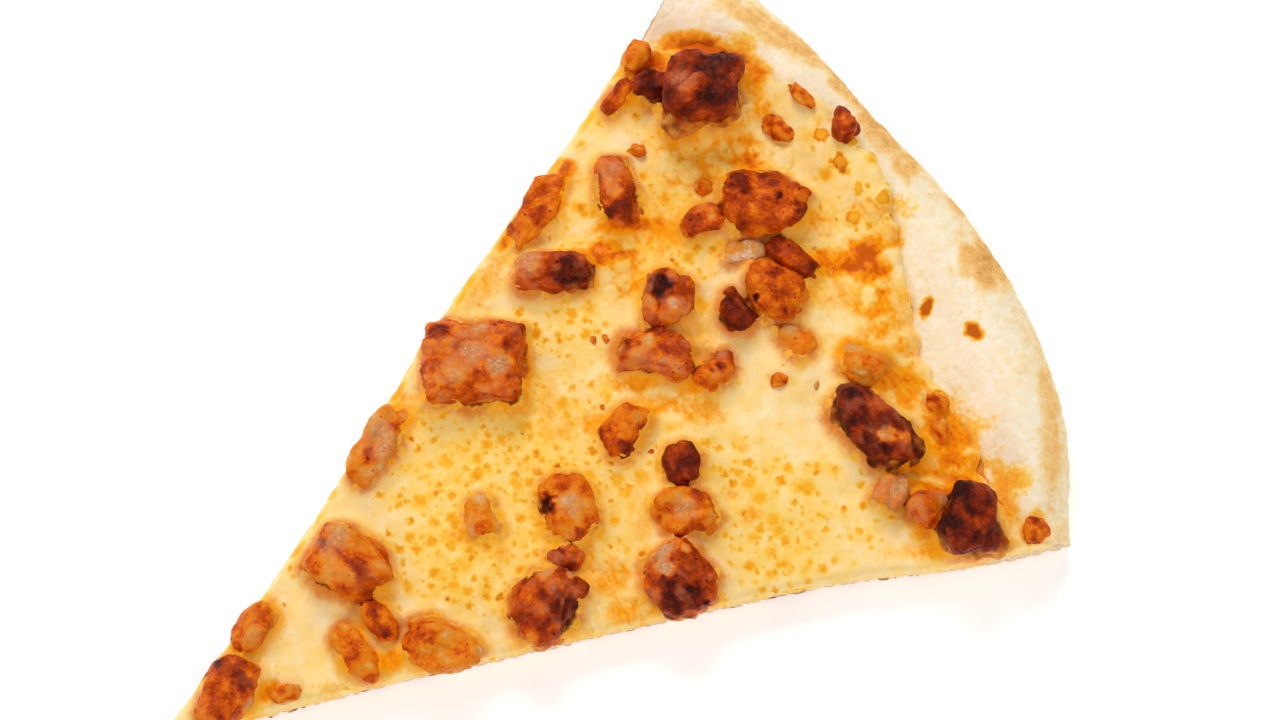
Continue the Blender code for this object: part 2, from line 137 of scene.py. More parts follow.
# Oily sauce that has come through: aside, along, long radius, short radius, turn in degrees, strength.
STAINS = [
    (-52.8, 144.2, 2.9, 3.6, 55, 0.7), (-49.1, 152.9, 7.1, 2.5, 55, 1), (-44.1, 156.8, 3.2, 2.5, 55, 0.95),
    (-40.5, 158.5, 1.8, 3.6, 66, 0.65), (-47.5, 141.6, 3.6, 2.1, 55, 0.6), (-50.2, 137.1, 2.1, 3.6, 34, 0.6),
    (-38.5, 144.3, 7.1, 1.4, 55, 0.5), (-35.4, 151.5, 2.5, 1.8, 55, 0.5), (1.6, 154.3, 4.6, 2.9, 34, 0.68),
    (-2.9, 149.2, 8.9, 2.5, 55, 0.6), (2.1, 147.8, 7.1, 3.2, 29, 0.4), (-10.5, 146.9, 3.6, 2.5, 55, 0.3),
    (-11.6, 150.3, 4.6, 3.2, 55, 0.35), (-7.1, 160.1, 7.1, 2.5, 65, 0.35), (-0.8, 160.8, 2.5, 2.5, 55, 0.45),
    (6.2, 151, 4.3, 3.6, 55, 0.6), (10.6, 154, 3.2, 5.4, 55, 0.4), (16.4, 150.9, 2.9, 2.9, 55, 0.4),
    (12.4, 149.4, 3.6, 2.1, 55, 0.4), (13.4, 142.6, 4.6, 3.6, 34, 0.6), (18.4, 143.9, 6.4, 3.2, 34, 0.65),
    (21.6, 147.2, 4.3, 2.9, 34, 0.5), (28.4, 149.5, 4.6, 2.9, 55, 0.45), (34.8, 146.4, 6.1, 7.1, 24, 0.6),
    (41.3, 147.3, 3.6, 4.3, 55, 0.45), (35.5, 142.6, 5, 3.9, 55, 0.5), (36.1, 137.9, 4.6, 2.5, 55, 0.55),
    (40.5, 137.8, 6.4, 1.8, 45, 0.7), (42.6, 144.1, 6.4, 2.1, 40, 0.6), (42.7, 134.7, 2.1, 6.4, 65, 0.6),
    (51, 133.5, 7.9, 1.8, 55, 0.5), (50, 148.2, 2.1, 7.9, 60, 0.55), (47.7, 151.9, 2.9, 2.5, 55, 0.5),
    (56.7, 149.9, 2, 2.3, 55, 0.5), (57.7, 147.8, 1.8, 1.8, 55, 1), (-53.2, 151.9, 5.4, 2.1, 50, 1),
    (-40.6, 157, 3.6, 3.9, -21, 0.5), (-36.7, 155.8, 2.5, 4.3, 55, 0.45), (-46.7, 160.2, 3.6, 2.5, 55, 0.3),
    (-52.5, 140.6, 2.9, 4.6, 55, 0.5), (-31.1, 149.2, 3.2, 2.1, 55, 0.55), (-26.9, 148.4, 3.9, 2.1, -6, 0.6),
    (-30.6, 143.2, 8, 5, 66, 0.4), (-36.1, 140.3, 5.4, 3.6, 55, 0.35), (-30, 138.3, 7.1, 3.2, 55, 0.35),
    (-29.7, 123.1, 7.1, 1.6, 60, 0.75), (-26.5, 126, 7.1, 3.6, 55, 0.5), (-28, 114.6, 7.1, 1.4, 65, 0.75),
    (-24.8, 117.9, 5.4, 2.5, 55, 0.45), (-20, 117.8, 6.4, 2.1, 71, 0.5), (-28, 130.2, 10.7, 4.6, 65, 0.33),
    (-23.9, 113.9, 4.6, 2.1, 55, 0.35), (-45.1, 118.1, 1.8, 2.9, 24, 0.8), (-42.4, 113, 2.5, 7.1, 24, 0.55),
    (-41, 103.2, 1.4, 2.9, 14, 0.7), (-35.9, 94, 2.9, 6.4, 19, 0.4), (-38.4, 99.6, 3.6, 1.8, 55, 0.3),
    (-23.5, 67.7, 5.4, 2.5, -79, 0.5), (-25.8, 66.6, 2.1, 5.4, 20, 0.5), (-23.7, 74.5, 5.4, 1.4, 50, 0.45),
    (-14.7, 86.5, 5.4, 2.5, 55, 0.35), (-17.3, 91.1, 1.1, 6.1, 55, 0.6), (-11.9, 91.8, 1.8, 5, 55, 0.4),
    (-6.3, 90.1, 4.6, 2.9, 55, 0.3), (-0.9, 98.4, 5.4, 3.6, 55, 0.35), (0.5, 108.2, 5.4, 2.1, 55, 0.45),
    (5.3, 113.2, 4.6, 2.9, 55, 0.4), (1, 114.2, 2.9, 1.6, 55, 0.5), (-4, 120, 3.6, 7.9, 55, 0.3),
    (-4.7, 107.2, 7.9, 1.4, 55, 0.5), (21.2, 82.2, 3.6, 3.9, 55, 0.45), (27.1, 80.9, 4.6, 2.9, 55, 0.45),
    (15.8, 80.9, 1.4, 8.9, 55, 0.4), (15.5, 93.1, 2.5, 6.1, 55, 0.35), (0.6, 66, 3.9, 2.1, 55, 0.5),
    (6, 69.3, 2.3, 2.1, 55, 0.4), (15.2, 115.7, 2.1, 1.8, 55, 0.4), (26.2, 110, 2.1, 2.5, 55, 0.45),
    (21.8, 109.4, 2.5, 1.4, 55, 0.35), (-6.3, 24, 3.9, 7.1, 20, 0.5), (3.5, 21.8, 2.9, 2.1, 55, 0.6),
    (5.9, 38.3, 2.5, 6.1, 35, 0.5), (1.4, 47.6, 2.5, 4.6, 55, 0.4), (0.2, 17.7, 5.4, 5.4, 55, 0.5),
    (15.7, 50.8, 7.1, 2.9, 70, 0.5), (11.2, 42.2, 2.9, 2.5, 55, 0.6), (9.3, 30.7, 3.6, 1.4, 70, 0.3),
    (25.2, 69, 8.9, 1.4, 65, 0.35), (32.9, 89.6, 7.1, 2.1, 65, 0.45), (-0.7, 153.7, 3.9, 4.6, 34, 0.85),
    (7.5, 152.9, 2.1, 3.6, 55, 0.5), (24, 145.4, 3.2, 2.9, 55, 0.5), (36.3, 146, 3.9, 5.4, 55, 0.62),
    (47.8, 145.8, 2.9, 2.5, 55, 0.5), (-44.6, 158.7, 1.8, 4.6, 55, 0.32), (-42.4, 114.5, 2.1, 3.9, 86, 0.55),
    (-29.6, 115.6, 5.4, 1.6, 71, 0.6), (11, 141.5, 2.9, 2.1, 86, 0.5), (46.8, 133.2, 1.8, 2.1, 55, 0.45),
    (16.3, 81.6, 1.4, 7.1, 60, 0.42), (-28.8, 124, 4.6, 1.4, 76, 0.55), (-2, 147.5, 3.9, 1.8, 45, 0.55),
    (-14.4, 98.5, 2.1, 2.9, 55, 0.3), (-3.8, 150.5, 7.5, 1.8, 55, 0.6), (5.6, 154.1, 1.8, 5, 55, 0.42),
    (2.9, 146.2, 7.1, 2.9, 39, 0.32), (-23.3, 133.5, 5.4, 1.6, 60, 0.38), (-25, 116.9, 5.4, 1.8, 50, 0.36),
]

# How thickly toasted flecks lie on the cheese: aside, along, long radius, short radius, turn, share.
FLECK_ZONES = [
    (-1.5, 78.5, 21.5, 19.5, 55, 1), (-27.5, 123, 18, 10.5, 65, 0.95), (29.5, 113, 10.5, 14.5, 55, 0.75),
    (0.5, 32.5, 7, 7, 55, 0.2), (-13, 160, 9, 10.5, 55, 0.4), (-43, 134, 10.5, 9, 55, 0.5),
    (38.5, 126, 7, 7, 55, 0.3), (-21.5, 101.5, 9, 7, 55, 0.6), (5, 65.5, 14.5, 10.5, 55, 0.9),
    (15.5, 106, 10.5, 10.5, 55, 0.6), (-33.5, 140.5, 7, 5.5, 55, 0.7),
]

# Where the cheese has set in curds, as lumps with oil between them.
CURD_ZONES = [
    (-32.7, 140.2, 16.1, 8, 55, 1), (-25.7, 115.2, 16.1, 7.1, 65, 0.9), (-41.9, 115.3, 7.1, 7.1, 55, 0.7),
    (-6.9, 155.5, 8.9, 12.5, 55, 0.7), (13.1, 147.8, 7.1, 10.7, 55, 0.6), (-1.6, 100.6, 10.7, 7.1, 55, 0.6),
    (-10.9, 87.4, 8.9, 7.1, 55, 0.5), (37.8, 140.9, 8.9, 8.9, 55, 0.6), (7.6, 107.4, 10.7, 7.1, 55, 0.4),
]

# Where the cheese stays smooth and pale.
BARE_ZONES = [
    (-43, 130.5, 5.4, 2.9, 34, 0.9), (-34, 116.5, 4.3, 1.8, 55, 0.7), (-5, 128.5, 4, 9, 55, 1),
    (18.5, 126, 8, 6, 55, 0.6), (-2, 32, 6, 9, 20, 0.8),
]

# Blisters in the cheese: aside, along, long radius, short radius, turn, toasted rim (1) or pale skin (-1).
BLISTERS = [
    (-33, 162.5, 1.6, 1.2, 3, 1), (-23.5, 160.5, 1.4, 1.1, 34, 0.7), (-19.5, 164.5, 0.9, 0.9, 55, 0.6),
    (-17.5, 160.5, 1.8, 1.2, 13, 0.8), (-11.5, 160.5, 1.2, 0.7, -17, 0.5), (-7.5, 163, 1.2, 1.2, 55, 0.7),
    (-8, 157, 1.2, 1.2, 55, 0.8), (28, 150.5, 1.6, 1.4, 55, 0.9), (5.5, 150.5, 2.1, 1.6, -45, -1),
    (-36.5, 151, 2.5, 2.3, 55, -0.6), (-25, 153, 2.9, 2.1, -64, -0.8), (-29.5, 143, 1.6, 1.6, 55, -0.5),
    (0.5, 23.5, 2.1, 2.5, 55, -0.4), (-12, 124, 1.4, 1.4, 55, -0.4),
]

# Browner places on the rim: aside, along, long radius, short radius, turn, strength.
RIM_SCORCHES = [
    (-30.8, 169.8, 2.1, 1.4, 8, 0.45), (0.2, 174.5, 2.5, 1.4, 8, 0.3), (38, 166.8, 1.4, 4.5, 55, 0.3),
    (-19.1, 172, 8.2, 3.6, -7, 0.5), (-29, 171.3, 6.4, 2.1, 3, 0.45), (-11.5, 171.1, 3.6, 2.9, -7, 0.5),
    (12, 171.5, 5.5, 4.5, 3, 0.55), (-20, 172.5, 7, 2, -7, 0.4), (-11.5, 170, 4.5, 1.8, -7, 0.3),
    (46, 161.5, 1.8, 10.5, 55, 0.3), (-46, 165.5, 12, 2.6, 23, 0.45),
]

# Splashes of sauce on the rim.
RIM_SPLASHES = [
    (12.8, 158.5, 1.9, 0.9, -51, 1), (21.7, 162.3, 1.7, 1.3, 3, 0.9), (57.5, 151, 3, 2.4, 60, 0.18),
]

# Each piece of chicken: how brown it is, then its patches as aside, along, radius, how brown, pale film.
# 0 is pale meat, 0.4 orange glaze, 0.7 red-brown glaze, and 1 charred.
CHICKEN_LOOKS = {
    "tip": (0.42, [(0, 18.5, 1.6, 0.68, 0), (-5.5, 17, 0.7, 0.92, 0), (1.5, 15, 1.6, 0.42, 0),
        (4.5, 18, 1.4, 0.2, 0.8)]),
    "left_low": (0.36, [(-6, 25, 2, 0.26, 0.4), (-7, 27.5, 1.1, 0.5, 0)]),
    "low_sliver_outer": (0.3, [(6.5, 37.5, 1.2, 0.42, 0)]),
    "low_sliver_inner": (0.32, [(7, 44.5, 0.9, 0.66, 0)]),
    "low_left": (0.3, [(-11.5, 45.5, 2.7, 0.2, 0.8), (-12, 44, 1.1, 0.6, 0.2), (-1, 47, 2.9, 0.44, 0),
        (-4, 47, 1.6, 0.58, 0)]),
    "low_wedge": (0.22, [(11.5, 48.5, 2.5, 0.43, 0), (17, 52.5, 2.1, 0.24, 0.2)]),
    "left_mid": (0.2, [(-22, 63, 3.5, 0.16, 0.7), (-21, 60, 1.2, 0.42, 0.1), (-23.5, 66, 1, 0.36, 0.2)]),
    "left_large": (0.4, [(-32, 82, 1.4, 0.62, 0), (-30.5, 79, 1.1, 0.45, 0), (-29, 89, 1.4, 0.05, 1),
        (-21, 87.5, 2.1, 0.1, 0.9), (-24.5, 79.5, 2.5, 0.15, 0.7), (-25.5, 95, 1.2, 0.55, 0.2),
        (-16.5, 88, 2.3, 0.46, 0), (-19.5, 77.5, 2, 0.45, 0), (-23, 91, 0.9, 0.62, 0), (-26, 85, 3.5, 0.3, 0.75)]),
    "left_log": (0.54, [(-35, 102.5, 3, 0.24, 0.85), (-28, 108.5, 3, 0.8, 0), (-29.5, 101, 1.1, 0.5, 0)]),
    "left_upper": (0.36, [(-40.5, 110, 1.6, 0.56, 0)]),
    "upper_finger": (0.44, [(-39.5, 125, 2.3, 0.3, 0.6), (-36.5, 123.5, 1.4, 0.25, 0.5),
        (-33.2, 120.3, 0.9, 0.8, 0), (-32, 123, 1.8, 0.64, 0)]),
    "middle_knob": (0.46, [(-16.5, 120, 1.8, 0.88, 0), (-13, 122.5, 1.4, 0.5, 0), (-12.5, 120, 0.9, 0.1, 0.9),
        (-15, 116.5, 1.1, 0.2, 0.6), (-11.5, 117.5, 1.2, 0.28, 0.5)]),
    "middle_slab": (0.42, [(-11, 108, 1.4, 0.56, 0), (-10, 112.5, 1.4, 0.12, 0.4), (-5.5, 117.5, 1.4, 0.5, 0.4),
        (-4.5, 112, 1.8, 0.34, 0.5), (-7.5, 110, 2.2, 0.3, 0.6)]),
    "middle_small": (0.34, [(1.5, 120.5, 1.1, 0.76, 0), (-0.5, 122, 1.3, 0.44, 0.6)]),
    "right_flat": (0.24, [(1.5, 134, 1.5, 0.18, 0.25)]),
    "centre_nugget": (0.42, [(-1, 95.5, 1.4, 0.6, 0), (4.5, 98.5, 1.2, 0.74, 0), (1, 103, 1.4, 0.22, 0.3)]),
    "centre_dark": (0.68, [(10, 106, 1.4, 0.5, 0), (13, 105, 1.6, 0.8, 0)]),
    "centre_wedge": (0.32, [(19.5, 100, 2.1, 0.14, 0.7), (19, 104, 1.4, 0.52, 0), (21, 106, 0.9, 0.55, 0),
        (23.5, 100.5, 1.1, 0.5, 0)]),
    "cut_dark": (0.48, [(23, 92.5, 1.8, 0.05, 1), (26, 91, 1.6, 0.05, 1), (25.5, 96, 0.7, 0.1, 0.8),
        (29.5, 95.5, 1.6, 0.5, 0), (26, 88, 1.2, 0.48, 0), (32, 90, 3.2, 0.74, 0), (32, 92.5, 0.6, 1, 0),
        (35.5, 93.5, 0.5, 1, 0)]),
    "low_pale": (0.3, [(4.5, 80.5, 1.6, 0.88, 0), (3.5, 84, 1.2, 0.5, 0), (13, 82, 1.2, 0.56, 0),
        (7.5, 84, 2, 0.12, 0.7)]),
    "low_cap": (0.52, [(15, 79, 1.1, 0.3, 0.5)]),
    "low_dark": (0.52, [(14, 73.5, 1.6, 0.15, 0.8), (16.5, 68.5, 1.4, 0.42, 0), (22.5, 72.5, 2.5, 0.78, 0),
        (26, 71.5, 1.2, 0.88, 0), (23.5, 64, 1.6, 0.3, 0.3), (17.5, 77, 0.7, 0.1, 0.8)]),
    "left_flat": (0.18, [(0, 67, 3, 0.16, 0.4), (1, 69, 1.2, 0.36, 0)]),
    "upper_orange": (0.44, [(-24, 143, 1.8, 0.68, 0), (-13, 149, 1.6, 0.72, 0), (-18, 147, 0.5, 1, 0),
        (-22, 140, 1.1, 0.6, 0), (-22, 148, 1.8, 0.62, 0), (-18.5, 143.5, 1.8, 0.42, 0)]),
    "upper_tail": (0.54, []),
    "upper_crumble": (0.42, [(-22.5, 135.5, 0.9, 0.12, 0.5), (-19.5, 134.5, 0.7, 0.75, 0)]),
    "pale_strip": (0, [(-14, 137, 2.1, 0, 0.25)]),
    "right_slab": (0.4, [(-5, 133, 0.5, 1, 0), (-6.5, 138.5, 1.6, 0.53, 0)]),
    "right_foot": (0.7, [(-4.5, 128.5, 1.1, 0.84, 0)]),
    "rim_lump": (0.2, [(17, 142.5, 1.4, 0.34, 0.2)]),
    "rim_long": (0.72, [(18.5, 135.5, 1.8, 0.86, 0), (24, 138.5, 1.6, 0.56, 0), (29, 137, 1.3, 0.14, 0.75),
        (31, 139.5, 1, 0.2, 0.5), (26, 132, 1.2, 0.58, 0)]),
    "rim_cube": (0.32, [(37, 133, 1.6, 0.18, 0.7)]),
    "rim_round": (0.36, [(44.5, 139.5, 1.4, 0.14, 0.9), (44.5, 134, 1.4, 0.4, 0)]),
    "rim_dark": (0.7, [(48.5, 136, 2.1, 0.96, 0), (46, 141, 1.8, 0.86, 0), (51, 143.5, 2, 0.66, 0),
        (49.5, 139, 0.7, 0.62, 0), (54, 138, 1.2, 0.8, 0)]),
    "top_large": (0.66, [(-44.5, 144.5, 2.3, 0.46, 0.5), (-45, 151.5, 2.9, 0.76, 0), (-38, 154, 1.4, 0.56, 0),
        (-37, 143, 1.4, 0.58, 0)]),
    "top_lobe": (0.68, [(-47, 141, 1.2, 0.84, 0)]),
    "top_slice": (0.27, [(-53, 144.5, 1.1, 0.52, 0)]),
    "top_crumble": (0.44, []),
}

# The studio: each light's place in metres, side in metres and power in watts.
LIGHTS = {
    "Key": ((-0.55, 0.3, 0.6), 0.45, 4.4),
    "Right": ((0.65, 0.3, 0.5), 0.5, 2.2),
    "Front": ((0.3, -0.7, 0.5), 0.5, 2.2),
    "Left": ((-0.6, -0.5, 0.5), 0.5, 1.6),
}
WORLD_STRENGTH = 0.25
FLOOR_GLOW = 0.28
# The camera looks at a place in the cheese, given as aside, along and height, through a lens in millimetres.
LOOKED_AT = np.array((-8.72, 109.98, 7)) * MM
LENS, SENSOR = 96.45, 36

Spots = namedtuple("Spots", "x y to_rim to_cheese_edge to_cut")
Footprint = namedtuple("Footprint", "x y cos sin half_length half_width foot top")
Drape = namedtuple("Drape", "rise nearness inside")


def linear(hex_colour):
    """A linear colour with alpha from an sRGB hex value."""
    channels = (int(hex_colour[n : n + 2], 16) / 255 for n in (1, 3, 5))
    return (*(c / 12.92 if c <= 0.04045 else ((c + 0.055) / 1.055) ** 2.4 for c in channels), 1.0)


def length_of(name, description, default_mm):
    """A length setting, with its default in millimetres."""
    return bpy.props.FloatProperty(
        name=name, description=description, default=default_mm * MM, min=0, precision=5, unit="LENGTH"
    )


def colour_of(name, description, hex_colour):
    """A colour setting, with its default as an sRGB hex value."""
    return bpy.props.FloatVectorProperty(
        name=name, description=description, default=linear(hex_colour), min=0, max=1, size=4, subtype="COLOR"
    )


def angle_of(name, description, degrees):
    """An angle setting, with its default in degrees."""
    return bpy.props.FloatProperty(
        name=name, description=description, default=math.radians(degrees), subtype="ANGLE"
    )


class PizzaDoughLook(bpy.types.PropertyGroup):
    cell: length_of("Detail", "Size of the smallest crag on the rim and the cut faces", 0.42)
    crag: length_of("Crags", "Depth of the crags on the rim", 0.35)
    air_hole: length_of("Air holes", "Depth of the air holes in the cut faces", 0.35)
    undercut: length_of("Undercut", "How far the cut faces lean in at the foot", 0.75)
    pale: colour_of("Pale dough", "Dough that the oven has hardly coloured", "#FBE6BE")
    golden: colour_of("Golden dough", "Dough where it has begun to brown", "#F5C072")
    brown: colour_of("Brown dough", "Dough where it is well baked", "#D8984E")


class PizzaCheeseLook(bpy.types.PropertyGroup):
    rows: bpy.props.IntProperty(
        name="Rows", description="Rows of points from tip to edge", default=400, min=60, max=420
    )
    climb: bpy.props.FloatProperty(
        name="Climb", description="Share of the chicken's flank that it climbs", default=0.78, min=0, max=1
    )
    climb_width: length_of("Climb width", "Width of the slope round the chicken", 3.3)
    cream: colour_of("Cream", "Melted cheese that isn't toasted", "#FFDC98")
    toast: colour_of("Toast", "Toasted flecks", "#F9AC20")


class PizzaChickenLook(bpy.types.PropertyGroup):
    voxel: length_of("Detail", "Size of the smallest crag on the meat", 0.32)
    lump: length_of("Lumps", "Depth of the broad lumps", 0.95)
    knob: length_of("Knobs", "Height of the knobs between muscle bundles", 0.85)
    knob_width: length_of("Knob width", "Width of the knobs", 3.6)
    fibre: length_of("Fibres", "Depth of the fibres", 0.12)
    crumb_count: bpy.props.IntProperty(
        name="Crumbs", description="Fine crumbs strewn on the cheese", default=60, min=0
    )


class PizzaStageLook(bpy.types.PropertyGroup):
    floor_size: length_of("Floor", "Side of the floor", 4000)
    distance: length_of("Distance", "From the camera to the middle of the slice", 620)
    azimuth: angle_of("Azimuth", "Direction of the camera round the slice", 55.07)
    elevation: angle_of("Elevation", "Height of the camera above the floor", 75.5)


def smooth(share):
    """An S-curve from 0 to 1."""
    share = np.clip(share, 0, 1)
    return share * share * (3 - 2 * share)


def along_curve(values, share):
    """A smooth curve through evenly spaced values, read at shares from 0 to 1 of its length."""
    place = np.clip(share, 0, 1) * (len(values) - 1)
    step = np.minimum(place.astype(int), len(values) - 2)
    before, start, end, after = (values[np.clip(step + n, 0, len(values) - 1)] for n in (-1, 0, 1, 2))
    t = place - step
    cube = 3 * start - before - 3 * end + after
    return start + 0.5 * t * (end - before + t * (2 * before - 5 * start + 4 * end - after + t * cube))


# Each call of the next three gives a seed of its own, so that no two patterns follow each other.


def bumps(x, y, spacing, seed):
    """Soft noise from -1 to 1 on the plan, with bumps about one spacing apart."""
    places = np.column_stack((x / spacing, y / spacing, np.full(len(x), float(seed))))
    return np.array([noise.noise(place) for place in places.tolist()])


def lumps(points, spacing, seed):
    """Soft noise from -1 to 1 in space, with lumps about one spacing apart."""
    return np.array([noise.noise(place) for place in (points / spacing + seed * 7.1).tolist()])


def knobs(points, spacing, seed):
    """(rise, valley): rounded knobs about one spacing wide, and the valleys between them."""
    distances = [noise.voronoi(place)[0][:2] for place in (points / spacing + seed * 7.1).tolist()]
    near, far = np.array(distances).T
    return 1 - near**2, 1 - np.clip((far - near) / 0.35, 0, 1)


def spots_at(radius, across):
    """Plan places at distances from the tip, across from 0 at the right-hand cut to 1 at the left."""
    angle = HALF_ANGLE * (1 - 2 * across)
    rim = along_curve(RIM_RADII, across)
    right = along_curve(RIGHT_CUT_INSET, radius / rim)
    left = along_curve(LEFT_CUT_INSET, radius / rim)
    shift = left * across - right * (1 - across)
    x = radius * np.sin(angle) + shift * np.cos(angle)
    y = radius * np.cos(angle) - shift * np.sin(angle)
    to_cut = radius * np.sin(2 * HALF_ANGLE * np.minimum(across, 1 - across))
    return Spots(x, y, rim - radius, along_curve(CHEESE_RADII, across) - radius, to_cut)


def dough_top(spots):
    crest = RIM_HEIGHT + RIM_BUMP * bumps(spots.x, spots.y, RIM_BUMP_SPACING, 3)
    climb = smooth((RIM_WIDTH - spots.to_rim) / (RIM_WIDTH - RIM_CREST_INSET))
    outward = np.clip(1 - spots.to_rim / RIM_CREST_INSET, 0, 1)
    fall = np.sqrt(1 - outward**2)
    return np.where(
        spots.to_rim > RIM_CREST_INSET,
        BASE_THICKNESS + (crest - BASE_THICKNESS) * climb,
        OUTER_EDGE_TOP + (crest - OUTER_EDGE_TOP) * fall,
    )


def dough_bottom(spots):
    outward = np.clip(1 - spots.to_rim / TOE_WIDTH, 0, 1)
    return OUTER_EDGE_BOTTOM * (1 - np.sqrt(1 - outward**2))


def patch_distance(x, y, patch):
    """How far plan places are from a patch's centre, where 1 is its edge. The patch is in millimetres."""
    aside, along, long_radius, short_radius, turn = patch[:5]
    cos, sin = math.cos(math.radians(turn)), math.sin(math.radians(turn))
    dx, dy = x / MM - aside, y / MM - along
    return np.hypot((dx * cos + dy * sin) / long_radius, (dy * cos - dx * sin) / short_radius)


def patched(x, y, patches, softness, waver):
    """The strongest patch at each plan place, its edge softened and wavered by noise."""
    strength = np.zeros(len(x))
    for patch in patches:
        share = smooth((1 + softness - patch_distance(x, y, patch) + waver) / (2 * softness))
        strength = np.maximum(strength, patch[5] * share)
    return strength


def plan_points(mesh, height=0):
    """A mesh's points in slice metres, measured from a height."""
    flat = np.empty(len(mesh.vertices) * 3)
    mesh.vertices.foreach_get("co", flat)
    return flat.reshape(-1, 3) - np.array((TIP.x, TIP.y, height))


def vertex_normals(mesh):
    return np.array([tuple(normal.vector) for normal in mesh.vertex_normals])


def footprints():
    """Where each piece of chicken stands, as a turned box on the plan with its foot and top."""
    found = {}
    for name in CHICKEN:
        points = plan_points(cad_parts[name].data)
        plan = points[:, :2]
        x, y = (plan.min(0) + plan.max(0)) / 2
        spread_out = plan - plan.mean(0)
        axis = np.linalg.eigh(spread_out.T @ spread_out)[1][:, 1]
        half_length = np.ptp(spread_out @ axis) / 2
        half_width = np.ptp(spread_out @ np.array((-axis[1], axis[0]))) / 2
        found[name] = Footprint(x, y, *axis, half_length, half_width, points[:, 2].min(), points[:, 2].max())
    return found


def spread(grid, cells, pick):
    """A plan grid with each value replaced by the largest, the smallest or the sum within some cells of it."""
    for axis in (0, 1):
        grid = pick.reduce([np.roll(grid, step, axis) for step in range(-cells, cells + 1)])
    return grid


def draped(reach, prints):
    """Plan grids of the chicken that is made: a skirt that rises to its sides, how near it is, and its inside."""
    stands = np.zeros(GRID_SHAPE)
    for name, piece in prints.items():
        made = bpy.data.objects.get(name + "_look")
        if made is None:
            continue
        points = plan_points(made.data, piece.foot)
        i, j = np.round((points[:, :2] - GRID_CORNER) / GRID_CELL).astype(int).T
        np.maximum.at(stands, (i, j), points[:, 2])
    present = (stands > 0).astype(float)
    rise, nearness = np.zeros(GRID_SHAPE), np.zeros(GRID_SHAPE)
    steps = range(-int(reach / GRID_CELL), int(reach / GRID_CELL) + 1)
    for right in steps:
        for up in steps:
            close = 1 - math.hypot(right, up) * GRID_CELL / reach
            if close > 0:
                moved = np.roll(stands, (right, up), (0, 1)) - CHICKEN_SINK
                np.maximum(rise, moved * close**2, out=rise)
                np.maximum(nearness, np.roll(present, (right, up), (0, 1)) * close, out=nearness)
    rise = spread(rise, 2, np.add) / 25
    return Drape(rise, nearness, spread(spread(present, 1, np.maximum), 4, np.minimum))


def read_grid(grid, x, y):
    """A plan grid's values at plan places."""
    place = (np.column_stack((x, y)) - GRID_CORNER) / GRID_CELL
    cell = np.floor(place).astype(int)
    share_x, share_y = (place - cell).T
    i, j = cell.T
    near = grid[i, j] * (1 - share_y) + grid[i, j + 1] * share_y
    far = grid[i + 1, j] * (1 - share_y) + grid[i + 1, j + 1] * share_y
    return near * (1 - share_x) + far * share_x


def lattice(rows):
    """A lattice from the tip, whose row n holds n + 1 points: each point's row and how far across it is, its
    triangles, and the loop of points round it."""
    row = np.repeat(np.arange(rows + 1), np.arange(1, rows + 2))
    column = np.arange(len(row)) - row * (row + 1) // 2
    up = np.flatnonzero(row < rows)
    down = np.flatnonzero((row < rows) & (column < row))
    triangles = np.concatenate(
        (
            np.column_stack((up, up + row[up] + 1, up + row[up] + 2)),
            np.column_stack((down, down + row[down] + 2, down + 1)),
        )
    )
    step, back = np.arange(rows), np.arange(rows, 0, -1)
    sides = (step * (step + 1) // 2, rows * (rows + 1) // 2 + step, back * (back + 1) // 2 + back)
    across = np.where(row > 0, column / np.maximum(row, 1), 0.5)
    return row, across, triangles, np.concatenate(sides)


def closed(points, triangles, loop, rings, foot):
    """Points and faces of a layer: its top, rings of points down its sides, and its flat hidden underside."""
    centre = points.mean(0) * (1, 1, 0) + (0, 0, foot)
    rings = [*rings, (rings[-1] * (1, 1, 0) + (0, 0, foot)) * 0.75 + centre * 0.25]
    faces, upper, start = triangles.tolist(), loop, len(points)
    for _ in rings:
        lower = start + np.arange(len(loop))
        faces += np.column_stack((upper, lower, np.roll(lower, -1), np.roll(upper, -1))).tolist()
        upper, start = lower, start + len(loop)
    faces += np.column_stack((np.roll(upper, -1), upper, np.full(len(upper), start))).tolist()
    return np.concatenate((points, *rings, centre[None])), faces


def carried(values, loop, rings, fade=1.0):
    """A field's values on a layer's top, and faded down the rings of its sides."""
    return np.concatenate((values, *[values[loop] * fade] * rings, (0.0,)))


def new_piece(name, points, faces, fields, finish):
    """A smooth mesh object from points in slice metres, with a float attribute for each named field."""
    mesh = bpy.data.meshes.new(name)
    mesh.from_pydata((points + np.array((TIP.x, TIP.y, 0))).tolist(), [], faces)
    for field, values in fields.items():
        mesh.attributes.new(field, "FLOAT", "POINT").data.foreach_set("value", np.asarray(values, dtype=np.float32))
    mesh.materials.append(finish)
    mesh.shade_smooth()
    made = bpy.data.objects.new(name, mesh)
    bpy.context.scene.collection.objects.link(made)
    return made


def node(tree, kind, values=None, links=None, stops=(), out=0, **settings):
    """Adds a shader node with its settings, its unlinked values, the sockets linked to it and its ramp's stops,
    and gives the output that is asked for."""
    made = tree.nodes.new("ShaderNode" + kind)
    for name, value in settings.items():
        setattr(made, name, value)
    for name, value in (values or {}).items():
        made.inputs[name].default_value = value
    for name, socket in (links or {}).items():
        tree.links.new(socket, made.inputs[name])
    for number, (place, colour) in enumerate(stops):
        elements = made.color_ramp.elements
        stop = elements[number] if number < 2 else elements.new(place)
        stop.position = place
        stop.color = linear(colour) if isinstance(colour, str) else colour
    return made.outputs[out]


def new_material(name, values):
    """A material whose shader has the values given, and the function that adds its nodes."""
    made = bpy.data.materials.new(name)
    made.use_nodes = True
    for socket, value in values.items():
        made.node_tree.nodes["Principled BSDF"].inputs[socket].default_value = value
    return made, partial(node, made.node_tree)


